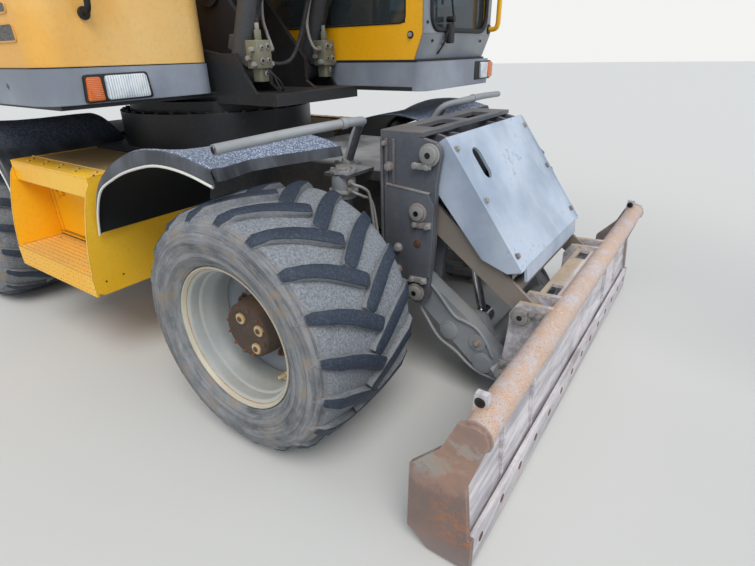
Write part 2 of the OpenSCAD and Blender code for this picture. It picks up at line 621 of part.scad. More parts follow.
/* Dozer blade and its linkage */
bracket_in = [190, 215];
bracket_mid = [320, 345];
bracket_out = [bracket_y - 26, bracket_y];
arm_y = [bracket_mid[1] + side_gap, bracket_out[0] - side_gap - 5];
module blade_bracket() place() color("#4a4b4e") {
    both_sides() {
        for (y = [bracket_mid, bracket_out]) {
                plate(y) polygon([[frame_front, 640], [frame_front + 120, 470], [blade_arm_pin[0], 450],
                    [blade_arm_pin[0] + 55, 500], [blade_link_pin[0] + 75, 760], [blade_link_pin[0] + 75, 1010],
                    blade_upper_pin + [42, -20], blade_upper_pin + [20, 46], [blade_upper_pin[0] - 60, 1205],
                    [frame_front, 1205]]);
                pin(blade_arm_pin, y, 62);
                pin(blade_upper_pin, y, 46);
        }
        plate(bracket_in) polygon([[frame_front, 760], [frame_front + 130, 760], blade_upper_pin + [40, -40],
            blade_upper_pin + [20, 46], [frame_front, 1205]]);
        for (p = [blade_link_pin, blade_arm_pin]) pin(p, [bracket_mid[0] - 12, bracket_out[1] + 12], blade_pin_r);
        pin(blade_upper_pin, [bracket_in[0] - 10, bracket_out[1] + 12], blade_pin_r);
        for (p = [blade_upper_pin, blade_link_pin, blade_arm_pin]) pin(p, [bracket_out[1], bracket_out[1] + 8], 42);
    }
    // Top plate with its openings, back plate and foot
    difference() {
        slab([frame_front, blade_upper_pin[0] - 40], [-bracket_y, bracket_y], [1205, 1223]);
        for (y = [-300, 40]) slab([frame_front + 70, blade_upper_pin[0] - 80], [y, y + 260], [1200, 1230]);
    }
    slab([frame_front, frame_front + 30], [-bracket_y, bracket_y], [640, 1205]);
}
blade_rod_y = 267;
module blade_arms() place() color("#5a5b5d") {
    difference() {
        union() {
            both_sides() {
                plate(arm_y) polygon([blade_arm_pin + [-62, -20], blade_arm_pin + [20, 62], [front_axle + 600, 430],
                    [front_axle + 735, 300], blade_foot + [70, 0], blade_foot + [-10, -75], [front_axle + 640, 200]]);
                pin(blade_arm_pin, arm_y, 66);
                pin(blade_foot, arm_y, 76);
                // Lug for the rod, open towards its eye
                plate([blade_rod_y + 40 + side_gap, arm_y[0]]) polygon([blade_rod_eye + [-55, -20],
                    blade_rod_eye + [-30, 50], blade_rod_eye + [40, 45], [front_axle + 735, 260], [front_axle + 640, 215]]);
                for (p = [[front_axle + 523, 336], [front_axle + 669, 317], [front_axle + 701, 216]])
                    pin(p, [arm_y[1], arm_y[1] + 8], 40);
            }
            // Cross tube between the arms
            pin([front_axle + 700, 262], [-arm_y[0], arm_y[0]], 46);
        }
        pin(blade_arm_pin, [-500, 500], blade_pin_r + fit);
        pin(blade_foot, [-500, 500], blade_pin_r + fit);
    }
}
link_y = [arm_y[1] - 40, arm_y[1] - 20];
clevis_y = [[arm_y[0] - 31, arm_y[0] - 5], [arm_y[1] + 5, arm_y[1] + 31]];
module blade_links() place() color("#77695c") {
    difference() {
        union() {
            both_sides() link_plate(blade_link_pin, blade_lug, link_y, 55, 48);
        }
        pin(blade_link_pin, [-500, 500], blade_pin_r + fit);
    }
    both_sides() pin(blade_lug, arm_y, 43);
    pin(blade_link_pin + 0.84 * (blade_lug - blade_link_pin), [-link_y[0], link_y[0]], 30);
}
// Bent sheet that shields the cylinders, hung on the upper pins
guard_y = [bracket_out[0] - 22, bracket_out[0] - 10];
guard_top = [front_axle + 462, 1205];
guard_low = [front_axle + 832, 700];
module blade_guard() place() color("#9aa3ad") {
    d = guard_low - guard_top;
    n = norm(d);
    along(guard_top, angle_of(d)) {
        difference() {
            slab([0, n], [-guard_y[1], guard_y[1]], [-12, 0]);
            // Long hole near the upper corner
            hull() for (x = [110, 190]) translate([x, -250, -20]) cylinder(r = 34, h = 40, $fn = 24);
        }
        // Lower lip bent down towards the blade
        translate([n, 0, 0]) rotate([0, 28, 0]) slab([-4, 62], [-guard_y[1] + 60, guard_y[1] - 60], [-12, 0]);
    }
    difference() {
        both_sides() along(guard_top, angle_of(d)) plate(guard_y)
            polygon([[0, 0], [n, 0], [n - 20, -60], [n - 120, -130], [130, -160], [64, -154], [-4, -94]]);
        pin(blade_upper_pin, [-500, 500], blade_pin_r + fit);
    }
}
// Mouldboard section: a concave front below the tube, the same shape moved back behind
function board(t) = [[blade_front - 5 - t, 560], [blade_front - 32 - t, 450], [blade_front - 38 - t, 357],
    [blade_front - 30 - t, 220], [blade_front - t, blade_gap]];
module blade() place() color("#8a5f45") {
    half = blade_w / 2;
    difference() {
        union() {
            plate([-half + 10, half - 10]) polygon(concat(board(0), [for (i = [4 : -1 : 0]) board(blade_t)[i]]));
            pin([blade_front - 14, 548], [-half, half], blade_tube_r);
            // Cutting edge
            plate([-half, half]) polygon([[blade_front - 6, 150], [blade_front + 12, 150], [blade_front + 12, blade_gap],
                [blade_front - 12, blade_gap]]);
            both_sides() {
                // End plate
                plate([half - 20, half]) polygon([[blade_front + 12, blade_gap], [blade_front - 140, blade_gap],
                    [blade_front - 220, 75], [blade_front - 214, 354], [blade_front - 110, 470], [blade_front - 60, 590],
                    [blade_front + 20, 590], [blade_front + 34, 550], [blade_front - 20, 357]]);
                // Ribs behind the board and the lifting eye
                for (y = [620, 930]) plate([y, y + 16]) polygon([[blade_front - 10, 80], [blade_front - 110, 80],
                    [blade_front - 110, 300], [blade_front - 60, 520], [blade_front - 30, 520]]);
                plate([1138, 1162]) polygon([[blade_front - 60, 570], [blade_front - 10, 570], [blade_front - 12, 640],
                    [blade_front - 52, 640]]);
                // Clevis plates at the upper and lower pins
                for (y = clevis_y) plate(y) polygon([blade_lug + [-52, 0], blade_lug + [-20, 52], [blade_front - 30, 590],
                        [blade_front - 40, 100], blade_foot + [0, -66], blade_foot + [-66, 0], blade_foot + [-20, 60],
                        blade_lug + [-50, -60]]);
                pin(blade_foot, [clevis_y[0][0] - 6, clevis_y[1][1] + 8], blade_pin_r);
                pin(blade_lug, [clevis_y[1][1], clevis_y[1][1] + 8], 40);
            }
            // Covers between the clevises
            slab([blade_front - 140, blade_front - 20], [-clevis_y[0][0], clevis_y[0][0]], [556, 570]);
            slab([blade_front - 96, blade_front - 20], [-half + 10, half - 10], [110, 124]);
        }
        both_sides() slab([blade_front - 120, blade_front - 70], [180, 300], [540, 590]);
    }
}
module blade_barrels() place() color("#3a3b3d") {
    both_sides() difference() {
        barrel(blade_upper_pin, blade_rod_eye, blade_l, blade_rod_y, 44, 22, 48, 70, -1);
        pin(blade_upper_pin, [0, 500], blade_pin_r + fit);
    }
}
module blade_rods() place() color("silver") {
    both_sides() rod(blade_upper_pin, blade_rod_eye, blade_l, blade_rod_y, 22, 50, 44, 70, 78);
}

/* Upper structure */
plate_z = [upper_z - 90 + seat_gap, upper_z + 20];
foot_plate = [boom_y + side_gap, boom_y + side_gap + 26];
outer_plate = [lift_y + 58, lift_y + 76];
boss_r = 95;
module upper_frame() place() color("#3a3b3d") {
    difference() {
        union() {
            translate([0, 0, plate_z[0]]) cylinder(r = ring_r - 60, h = 60);
            slab([-1450, 900], [-outer_plate[1], outer_plate[1]], [upper_z - 40, plate_z[1]]);
            slab([-1350, 430], [-upper_y + 60, upper_y - 60], [upper_z - 2, plate_z[1]]);
            slab([-420, cab_front - 60], [outer_plate[1], cab_out - 40], [upper_z - 2, plate_z[1]]);
            both_sides() {
                plate(foot_plate) polygon([[-470, upper_z], [boom_foot[0] - 130, boom_foot[1]],
                    [boom_foot[0] - 60, boom_foot[1] + boss_r], [boom_foot[0] + 60, boom_foot[1] + boss_r],
                    [boom_foot[0] + 140, boom_foot[1] - 60], lift_foot + [110, 60], lift_foot + [110, -60], [760, upper_z]]);
                plate(outer_plate) polygon([[200, upper_z], [250, 1560], lift_foot + [-60, 95], lift_foot + [60, 95],
                    lift_foot + [110, 0], [760, upper_z]]);
                pin(boom_foot, [foot_plate[0], foot_plate[1] + 16], boss_r);
            }
        }
        for (s = SIDES) translate([0, 0, 0]) cylinder(r = 90, h = 3000);
    }
    pin(boom_foot, [-foot_plate[1] - 30, foot_plate[1] + 30], boom_pin_r);
    both_sides() pin(lift_foot, [foot_plate[0], outer_plate[1]], 40);
}
weight_z = [upper_z, 2200];
weight_front = -1500;
lift_hole_r = 15;
lift_hole_z = 80;
module counterweight() place() color("#4b4c4e") {
    difference() {
        intersection() {
            translate([0, 0, weight_z[0]]) cylinder(r = tail_r, h = weight_z[1] - weight_z[0], $fn = 96);
            slab([-tail_r - 10, weight_front], [-upper_y, upper_y], weight_z);
            // Undercut towards the ground at the back
            plate([-upper_y, upper_y]) polygon([[weight_front, weight_z[0]], [-tail_r + 170, weight_z[0]],
                [-tail_r, weight_z[0] + 230], [-tail_r, weight_z[1] - 120], [-tail_r + 80, weight_z[1]],
                [weight_front, weight_z[1]]]);
        }
        translate([weight_front - 300, 0, weight_z[1] - lift_hole_z]) cylinder(r = lift_hole_r, h = 100);
        slab([-tail_r - 10, weight_front - 420], [-260, 260], [weight_z[0] + 260, weight_z[0] + 300]);
    }
}
bay_x = [weight_front + seat_gap, -480];
bay_in = outer_plate[1] + 10;
side_door_z = [band_z + 20, housing_z - 120];
side_door_x = [-1380, -560];
hood_x = [bay_x[0] + 20, bay_x[1] - 40];
side_hinge = [side_door_x[1], upper_y + hinge_r];
side_hinge_z = [side_door_z[0] + 60, side_door_z[1] - 120];
hood_hinge = [hood_x[1] + 32, hood_z - hinge_r];
module engine_bay() place() color("gold") {
    both_sides() {
        hinge_pin(side_hinge, side_hinge_z, -1, 1);
        // Carriers of the hood's hinge
        plate([600, 630]) polygon([hood_hinge + [-7, 9], hood_hinge + [8, 9], [bay_x[1], housing_z - 10],
            [hood_hinge[0] - 7, housing_z - 10]]);
        pin(hood_hinge, [600, 700], 7);
    }
    // Side walls with door openings, front wall and deck rim
    for (s = SIDES) difference() {
        slab([bay_x[0], bay_x[1]], s > 0 ? [upper_y - 40, upper_y] : [-upper_y, -upper_y + 40], [plate_z[1], housing_z]);
        slab(side_door_x, s > 0 ? [upper_y - 60, upper_y + 20] : [-upper_y - 20, -upper_y + 60], side_door_z);
    }
    slab([bay_x[1] - 30, bay_x[1]], [-upper_y, upper_y], [plate_z[1], housing_z]);
    slab([bay_x[0], bay_x[0] + 20], [-upper_y, upper_y], [plate_z[1], housing_z]);
    difference() {
        slab(bay_x, [-upper_y, upper_y], [housing_z - 20, housing_z]);
        slab(hood_x, [-upper_y + 180, upper_y - 180], [housing_z - 40, housing_z + 20]);
    }
}
module engine_block() place() color("dimgray") {
    slab([-1300, -700], [-620, 620], [plate_z[1] + seat_gap, housing_z - 180]);
}
module engine_hood() place() color("gold") {
    difference() {
        union() {
            slab([hood_x[0] - 20, hood_x[1] + 20], [-upper_y + 150, upper_y - 150], [housing_z + seat_gap, hood_z]);
        }
        slab([hood_x[0], hood_x[1]], [-upper_y + 170, upper_y - 170], [housing_z - 10, hood_z - 20]);
    }
    both_sides() difference() {
        union() {
            pin(hood_hinge, [630 + seat_gap, 690], hinge_r - 1);
            slab([hood_x[1] + 10, hood_hinge[0]], [630 + seat_gap, 690], [hood_hinge[1] - 12, hood_hinge[1] + 12]);
        }
        pin(hood_hinge, [620, 700], 7 + fit);
    }
    // Exhaust stack
    translate([-1180, 560, hood_z - 20]) cylinder(r = 55, h = 240);
}
module side_door(s) {
    g = side_gap;
    mirror([0, s > 0 ? 0 : 1, 0]) hinge_knuckle(side_hinge, side_hinge_z, -1, 1);
    slab([side_door_x[0] + g, side_door_x[1] - g], s > 0 ? [upper_y - 34, upper_y] : [-upper_y, -upper_y + 34],
        [side_door_z[0] + g, side_door_z[1] - g]);
}
module left_side_door() place() color("gold") side_door(1);
module right_side_door() place() color("gold") side_door(-1);
corner_r = 120;
right_x = [bay_x[1] + seat_gap, 470];
right_in = lift_y + 95;
module right_housing() place() color("#e0a850") {
    rounded_slab(right_x, [-upper_y, -right_in], [band_z + 4, housing_z], corner_r);
}
module lower_trim() place() color("#6d7076") {
    rounded_slab([right_x[0], right_x[1] + 12], [-upper_y - 12, -right_in], [plate_z[1], band_z], corner_r);
    // Skirt under the cab
    difference() {
        rounded_slab([-420, cab_front + 20], [cab_in, cab_out + 6], [upper_z - 2, band_z - 16], 60);
        slab([-430, cab_front - 60], [cab_in - 10, cab_out - 40], [upper_z - 10, plate_z[1]]);
    }
    // Rubber mounts under the cab
    for (x = [-300, cab_front - 200], y = [cab_in + 130, cab_out - 150]) translate([x, y, band_z - 30])
        cylinder(r = 45, h = cab_base - seat_gap - band_z + 30);
}
module lamps() place() color("orange") {
    slab([right_x[1] + 12, right_x[1] + 30], [-upper_y + 180, -upper_y + 445], [upper_z + 30, upper_z + 125]);
    slab([cab_front + 20, cab_front + 38], [cab_out - 190, cab_out - 60], [upper_z + 10, upper_z + 80]);
    for (y = [cab_in + 120, cab_out - 260]) slab([cab_front - 360, cab_front - 300], [y, y + 140], [cab_z + seat_gap, cab_z + 100]);
}
hinge_z = [1620, 2750];
cab_base = band_z - 6;
cab_rear = -420;
// Side outline of the cab, moved inwards by t
function cab_side(t) = [[cab_rear + t, cab_base + t], [cab_rear + t, cab_z - 80 - t / 2], [cab_rear + 70 + t / 2, cab_z - t],
    [cab_front - 330 - t / 2, cab_z - t], [cab_front - 190 - t, cab_z - 110 - t / 2], [cab_front - t, 2250],
    [cab_front - t, cab_base + 130], [cab_front - 50 - t, cab_base + t]];
door_x = [150, cab_front - 110];
sill_z = 1660;
door_hinge = [door_x[0], cab_out + hinge_r];
module door_outline(t) {
    polygon([[door_x[0] + t, cab_base + 60 + t], [door_x[0] + t, cab_z - 150 - t], [cab_front - 330 - t, cab_z - 150 - t],
        [cab_front - 220 - t, cab_z - 260 - t], [door_x[1] - t, 2250], [door_x[1] - t, cab_base + 60 + t]]);
}
module window_outline(t) {
    polygon([[door_x[0] + t, sill_z + t], [door_x[0] + t, cab_z - 190 - t], [cab_front - 360 - t, cab_z - 190 - t],
        [cab_front - 250 - t, cab_z - 280 - t], [cab_front - 110 - t, 2250], [cab_front - 110 - t, sill_z + t]]);
}
front_glass_y = [cab_in + 80, cab_out - 80];
module rear_quarter(t) {
    polygon([[cab_rear + 100 + t, sill_z + 300 + t], [cab_rear + 100 + t, cab_z - 190 - t], [door_x[0] - 90 - t, cab_z - 190 - t],
        [door_x[0] - 90 - t, sill_z + 300 + t]]);
}
module cab_shell() place() color("gold") {
    hinge_pin(door_hinge, hinge_z, 1, 1);
    difference() {
        plate([cab_in, cab_out]) polygon(cab_side(0));
        plate([cab_in + cab_t, cab_out - cab_t]) polygon(cab_side(cab_t));
        // Door on the left and window on the right
        plate([cab_out - cab_t - 10, cab_out + 10]) door_outline(0);
        plate([cab_in - 10, cab_in + cab_t + 10]) window_outline(0);
        plate([cab_in - 10, cab_out + 10]) rear_quarter(0);
        // Front and rear windows
        slab([cab_front - cab_t - 170, cab_front + 10], front_glass_y, [sill_z - 40, 2960]);
        slab([cab_rear - 10, cab_rear + cab_t + 10], front_glass_y, [2000, cab_z - 180]);
    }
}
module cab_glass() place() color("#203038") {
    plate([cab_in + 12, cab_in + 12 + glass_t]) window_outline(seat_gap);
    for (y = [cab_in + 12, cab_out - 12 - glass_t]) plate([y, y + glass_t]) rear_quarter(seat_gap);
    slab([cab_rear + 12, cab_rear + 12 + glass_t], front_glass_y + [seat_gap, -seat_gap], [2000 + seat_gap, cab_z - 180 - seat_gap]);
    // Windscreen, upright below and raked above
    intersection() {
        slab([0, cab_front], front_glass_y + [seat_gap, -seat_gap], [sill_z - 40 + seat_gap, 2960 - seat_gap]);
        plate([cab_in, cab_out]) difference() {
            polygon(cab_side(14));
            polygon(cab_side(14 + glass_t));
        }
    }
}
module seat() place() color("#303236") {
    rounded_slab([60, 560], [560, 1040], [1830, 1930], 60);
    translate([60, 0, 1930]) rotate([0, -10, 0]) slab([0, 110], [580, 1020], [0, 680]);
    slab([180, 460], [640, 960], [cab_base + cab_t + seat_gap, 1830]);
}
module controls() place() color("#222326") {
    for (y = [470, 1070]) {
        slab([300, 620], [y, y + 70], [cab_base + cab_t + seat_gap, 1960]);
        translate([580, y + 35, 1960]) cylinder(r = 22, h = 150);
    }
    // Steering column and wheel
    slab([1030, 1130], [740, 860], [cab_base + cab_t + seat_gap, cab_base + cab_t + 16]);
    bar([1080, 800, cab_base + cab_t + 10], [940, 800, 2080], 32);
    translate([940, 800, 2080]) rotate([0, -25, 0]) rotate_extrude() translate([165, 0]) circle(r = 15, $fn = 16);
    translate([940, 800, 2080]) rotate([0, -25, 0]) for (a = [0, 120, 240]) rotate([0, 0, a]) slab([0, 165], [-14, 14], [-8, 8]);
}
module handrails() place() color("#33353a") {
    // Rail on the cab's front corner, rail on the right housing, mirrors
    bent_bar([[cab_front + seat_gap, cab_out - 30, 1640], [cab_front + 70, cab_out - 30, 1640],
        [cab_front + 70, cab_out - 30, 2200], [cab_front + seat_gap, cab_out - 30, 2200]], 15);
    bent_bar([[right_x[1] - 60, -upper_y + 60, housing_z + seat_gap], [right_x[1] - 60, -upper_y + 60, housing_z + 260],
        [right_x[0] + 160, -upper_y + 60, housing_z + 260], [right_x[0] + 160, -upper_y + 60, housing_z + seat_gap]], 15);
}
module cab_door() place() color("gold") {
    g = side_gap;
    hinge_knuckle(door_hinge, hinge_z, 1, 1);
    difference() {
        plate([cab_out - cab_t + 8, cab_out - 1]) door_outline(g);
        plate([cab_out - cab_t, cab_out + 10]) door_outline(70);
    }
    slab([door_x[0] + 6, door_x[1] - 20], [cab_out - cab_t + 12, cab_out - 2], [cab_base + 90, sill_z + 120]);
}
module cab_door_glass() place() color("#203038") {
    plate([cab_out - 28, cab_out - 28 + glass_t]) intersection() {
        door_outline(70 + seat_gap);
        translate([-1000, sill_z + 120 + seat_gap]) square([4000, 3000]);
    }
}

/* Boom, stick and bucket */
knee_r = 120;
ear_y = [boom_y - 25, boom_y + 10];
tongue_y = ear_y[0] - side_gap;
module base_boom() place() color("#4a4b4e") {
    difference() {
        along(boom_foot, base_angle) {
            plate([-boom_y, boom_y]) polygon([[-60, -75], [200, -130], [base_len - 520, -150], [base_len - 180, -110],
                [base_len - 145, -60], [base_len - 145, 60], [base_len - 200, 120], [700, 190], [250, 150], [-20, 90]]);
            pin([0, 0], [-boom_y, boom_y], boss_r);
            pin([base_len - 400, -120], [-boom_y, boom_y], 90);
            both_sides() {
                // Ears around the knee
                plate(ear_y) polygon([[base_len - 330, -115], [base_len - 330, 118], [base_len, knee_r], [base_len, -knee_r]]);
                pin([base_len, 0], ear_y, knee_r);
                pin([base_len - 400, -120], [boom_y, lift_y - 50 - side_gap], 60);
                // Lugs of the adjusting cylinder
                plate([60, 100]) polygon([[460, 150], [540, 330], [600, 382], [660, 330], [760, 160]]);
            }
        }
        pin(boom_foot, [-300, 300], boom_pin_r + fit);
        pin(adjust_foot, [-300, 300], 35);
    }
    pin(knee, [-ear_y[1] - 14, ear_y[1] + 14], boom_pin_r);
    pin(adjust_foot, [-112, 112], 35);
}
module lift_barrels() place() color("#4f5052") {
    both_sides() difference() {
        union() {
            barrel(lift_foot, lift_eye, lift_l, lift_y, 58, 38, 66, 96);
            // Valve block on the front of the barrel
            translate([0, lift_y, 0]) along(lift_foot, angle_of(lift_eye - lift_foot)) slab([70, 190], [-45, 45], [-110, -40]);
        }
        pin(lift_foot, [0, 600], 40 + fit);
    }
}
module lift_rods() place() color("silver") {
    both_sides() rod(lift_foot, lift_eye, lift_l, lift_y, 38, 66, 64, 96, 100);
}
module upper_boom() place() color("#4a4b4e") {
    difference() {
        along(knee, upper_angle) {
            plate([-tongue_y, tongue_y]) polygon([[-30, -110], [400, -150], [400, 150], [0, 112]]);
            pin([0, 0], [-tongue_y, tongue_y], knee_r - 5);
            plate([-upper_boom_y, upper_boom_y]) polygon([[160, -135], [700, -170], [upper_len - 200, -90], [upper_len, -85],
                [upper_len, 85], [1500, 150], [800, 190], [160, 130]]);
            pin([upper_len, 0], [-upper_boom_y, upper_boom_y], 85);
            both_sides() {
                plate([60, tongue_y]) polygon([[-205, 425], [-150, 500], [-95, 480], [260, 120], [-70, 80]]);
                plate([60, 100]) polygon([[780, 170], [840, 340], [900, 385], [960, 330], [1060, 160]]);
            }
        }
        pin(knee, [-300, 300], boom_pin_r + fit);
    }
    pin(stick_foot, [-112, 112], 35);
    pin(stick_pin, [-upper_boom_y - 42, upper_boom_y + 42], 40);
}
module adjust_barrel() place() color("#4f5052") difference() {
    barrel(adjust_foot, adjust_eye, adjust_l, 0, 62, 40, 60, 110);
    pin(adjust_foot, [-200, 200], 35 + fit);
}
module adjust_rod() place() color("silver") rod(adjust_foot, adjust_eye, adjust_l, 0, 40, 60, 58, 104, 110);
// The stick's head straddles the upper boom's tip
head_y = [upper_boom_y + side_gap, upper_boom_y + 31];
module stick() place() color("#4a4b4e") {
    difference() {
        along(bucket_pin, stick_angle - 180) {
            plate([-stick_y, stick_y]) polygon([[-20, -75], [300, -95], [stick_len - 560, -210], [stick_len - 260, -180],
                [stick_len - 190, -90], [stick_len - 190, 10], [stick_len - 330, 80], [400, 80], [0, 80]]);
            pin([0, 0], [-stick_y - 14, stick_y + 14], 80);
            both_sides() {
                plate([stick_y - 30, head_y[1]]) polygon([[stick_len - 700, -150], [stick_len - 250, -200],
                    [stick_len - 150, -130], [stick_len - 150, 0], [stick_len - 330, 60], [stick_len - 600, 60]]);
                plate(head_y) polygon([[stick_len - 260, -170], [stick_len + 100, -150], [stick_len + 420, -70],
                    [stick_len + 545, -30], [stick_len + 535, 30], [stick_len + 420, 50], [stick_len, 110], [stick_len - 260, 60]]);
                pin([stick_len, 0], [head_y[0], head_y[1] + 8], 110);
                pin([stick_len + 480, -25], [65, head_y[1]], 58);
                plate([65, 95]) polygon([[stick_len - 630, -150], [stick_len - 560, -280], [stick_len - 500, -335],
                    [stick_len - 435, -280], [stick_len - 350, -150]]);
            }
        }
        pin(stick_pin, [-300, 300], 40 + fit);
        pin(bucket_pin, [-300, 300], 35 + fit);
    }
    both_sides() pin(rocker_pin, [0, stick_y + 40], 32);
    pin(bucket_foot, [-108, 108], 30);
}
module stick_barrel() place() color("#4f5052") difference() {
    barrel(stick_foot, stick_eye, stick_l, 0, 62, 40, 60, 110);
    pin(stick_foot, [-200, 200], 35 + fit);
}
module stick_rod() place() color("silver") rod(stick_foot, stick_eye, stick_l, 0, 40, 60, 58, 104, 112, 85);
module bucket_barrel() place() color("#4f5052") difference() {
    barrel(bucket_foot, rocker_eye, bucket_l, 0, 55, 35, 52, 104);
    pin(bucket_foot, [-200, 200], 30 + fit);
}
module bucket_rod() place() color("silver") rod(bucket_foot, rocker_eye, bucket_l, 0, 35, 52, 52, 84, 96);
rocker_y = [stick_y + side_gap + 3, stick_y + 30];
link_arm_y = [58, 94];
module rocker() place() color("#55565a") {
    both_sides() {
        difference() {
            link_plate(rocker_pin, rocker_eye, rocker_y, 62, rocker_eye_r);
            pin(rocker_pin, [0, 300], 32 + fit);
        }
        pin(rocker_eye, [link_arm_y[0] - 4, rocker_y[0] + 10], 30);
    }
}
module link() place() color("#55565a") {
    both_sides() difference() {
        link_plate(rocker_eye, link_pin, link_arm_y, 60, 62);
        pin(rocker_eye, [0, 300], 30 + fit);
    }
    pin(link_pin, [-stick_y - 14, stick_y + 14], 58);
    along(link_pin, angle_of(rocker_eye - link_pin)) slab([90, 190], [-60, 60], [-25, 25]);
}
// Bucket
ear_in = stick_y + 22;
module bucket() place() color("#5b4a40") along(bucket_pin, bucket_turn) {
    half = bucket_w / 2;
    outer = bowl(0);
    inner = bowl(bucket_t);
    difference() {
        union() {
            plate([-half, half]) polygon(concat(outer, [for (i = [len(inner) - 1 : -1 : 0]) inner[i]]));
            both_sides() {
                plate([half - bucket_t, half]) polygon(concat(outer, [[-300, -195]]));
                plate([ear_in, ear_in + 32]) polygon([[-80, -60], [-75, 50], [0, 80], [80, 60], link_local + [25, 65],
                    link_local + [68, 0], heel_c + [bowl_r - 10, 0], [280, -350], [-120, -40]]);
            }
        }
        pin([0, 0], [-300, 300], 35);
    }
    pin([0, 0], [-ear_in - 44, ear_in + 44], 35);
    both_sides() pin(link_local, [ear_in, ear_in + 44], 34);
    // Teeth
    for (i = [0 : 4]) translate([0, -half + 60 + i * (bucket_w - 120) / 4, 0]) plate([-45, 45])
        polygon([lip + [-20, 0], lip + [140, 0], lip + [140, 60], lip + [60, 52], lip + [-20, 14]]);
}

chassis_frame();
slew_ring();
step_boxes();
toolbox_door();
front_axle();
rear_axle();
mudguards();
blade_bracket();
knuckle_left();
knuckle_right();
tie_rod_left();
tie_rod_right();
steering_rod();
tyre_front_left();
tyre_front_right();
tyre_rear_left();
tyre_rear_right();
rim_front_left();
rim_front_right();
rim_rear_left();
rim_rear_right();
blade_arms();
blade_links();
blade_guard();
blade();
blade_barrels();
blade_rods();
upper_frame();
counterweight();
engine_bay();
engine_block();
right_housing();
lower_trim();
lamps();
cab_shell();
cab_glass();
seat();
controls();
handrails();
cab_door();
cab_door_glass();
engine_hood();
left_side_door();
right_side_door();
base_boom();
lift_barrels();
lift_rods();
upper_boom();
adjust_barrel();
adjust_rod();
stick();
stick_barrel();
stick_rod();
bucket_barrel();
bucket_rod();
rocker();
link();
bucket();
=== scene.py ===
import math

import bmesh
import bpy
from mathutils import Matrix, Vector


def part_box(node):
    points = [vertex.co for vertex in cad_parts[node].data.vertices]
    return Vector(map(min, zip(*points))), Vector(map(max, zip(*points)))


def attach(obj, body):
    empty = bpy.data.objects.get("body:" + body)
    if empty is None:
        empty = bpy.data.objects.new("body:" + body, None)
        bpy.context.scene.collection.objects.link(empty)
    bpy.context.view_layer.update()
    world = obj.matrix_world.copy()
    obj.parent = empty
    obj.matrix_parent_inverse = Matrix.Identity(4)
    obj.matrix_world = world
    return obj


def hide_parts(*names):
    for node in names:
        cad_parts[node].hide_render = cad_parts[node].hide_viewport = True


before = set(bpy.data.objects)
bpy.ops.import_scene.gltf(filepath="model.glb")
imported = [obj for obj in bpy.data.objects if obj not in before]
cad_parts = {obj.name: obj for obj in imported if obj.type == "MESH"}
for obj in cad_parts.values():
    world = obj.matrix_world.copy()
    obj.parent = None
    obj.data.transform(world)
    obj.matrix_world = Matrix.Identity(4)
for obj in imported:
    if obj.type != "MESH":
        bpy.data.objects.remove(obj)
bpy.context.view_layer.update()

# Camera and light
# The camera stands ahead of the front axle on the machine's right, over the end of the blade, and
# looks down at the front wheel. Soft daylight from above lights a pale floor without hard shadows.
def show(name, data):
    thing = bpy.data.objects.new(name, data)
    bpy.context.scene.collection.objects.link(thing)
    return thing


def take_mesh(name, form):
    """Turns a form into a mesh and frees it."""
    mesh = bpy.data.meshes.new(name)
    form.to_mesh(mesh)
    form.free()
    return mesh


wheel_boxes = [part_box("rim_front_left"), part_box("rim_front_right")]
front_axle = sum((low + high for low, high in wheel_boxes), Vector()) / 4
front_axle.y = 0
ground = Vector((front_axle.x, 0, 0))
eye = ground + Vector((1.384, -2.226, 1.522))
turn, tilt, roll = math.radians(35.2), math.radians(25.5), math.radians(1.15)
camera = show("camera", bpy.data.cameras.new("camera"))
camera.data.sensor_width = 36
camera.data.lens = 23.18
camera.data.clip_start = 0.05
camera.data.clip_end = 200
heading, pitch = Matrix.Rotation(turn, 4, "Z"), Matrix.Rotation(math.pi / 2 - tilt, 4, "X")
camera.matrix_world = Matrix.Translation(eye) @ heading @ pitch @ Matrix.Rotation(-roll, 4, "Z")
bpy.context.scene.camera = camera
bpy.context.scene.view_settings.view_transform = "Standard"


def add_sun(name, direction, strength, softness, tint):
    sun = show(name, bpy.data.lights.new(name, "SUN"))
    sun.data.energy = strength
    sun.data.angle = math.radians(softness)
    sun.data.color = tint
    sun.rotation_euler = Vector(direction).to_track_quat("-Z", "Y").to_euler()


add_sun("daylight", (-0.45, 0.5, -1), 1.9, 35, (1, 0.97, 0.93))
add_sun("sky_side", (-0.8, -0.3, -0.35), 0.6, 60, (0.88, 0.94, 1))

sky = bpy.data.worlds.new("sky")
bpy.context.scene.world = sky
sky.use_nodes = True
sky_tree = sky.node_tree
glow = sky_tree.nodes["Background"]
glow.inputs["Color"].default_value = (0.86, 0.92, 1, 1)
glow.inputs["Strength"].default_value = 0.66
backdrop = sky_tree.nodes.new("ShaderNodeBackground")
backdrop.inputs["Color"].default_value = (0.9, 0.9, 0.89, 1)
rays = sky_tree.nodes.new("ShaderNodeLightPath")
choose = sky_tree.nodes.new("ShaderNodeMixShader")
sky_tree.links.new(rays.outputs["Is Camera Ray"], choose.inputs[0])
sky_tree.links.new(glow.outputs[0], choose.inputs[1])
sky_tree.links.new(backdrop.outputs[0], choose.inputs[2])
sky_tree.links.new(choose.outputs[0], sky_tree.nodes["World Output"].inputs["Surface"])

form = bmesh.new()
bmesh.ops.create_circle(form, cap_ends=True, segments=96, radius=60)
floor = show("floor", take_mesh("floor", form))
floor_coat = bpy.data.materials.new("pale_floor")
floor_coat.use_nodes = True
floor_sockets = floor_coat.node_tree.nodes["Principled BSDF"].inputs
floor_sockets["Base Color"].default_value = (0.62, 0.62, 0.6, 1)
floor_sockets["Roughness"].default_value = 0.9
floor.data.materials.append(floor_coat)


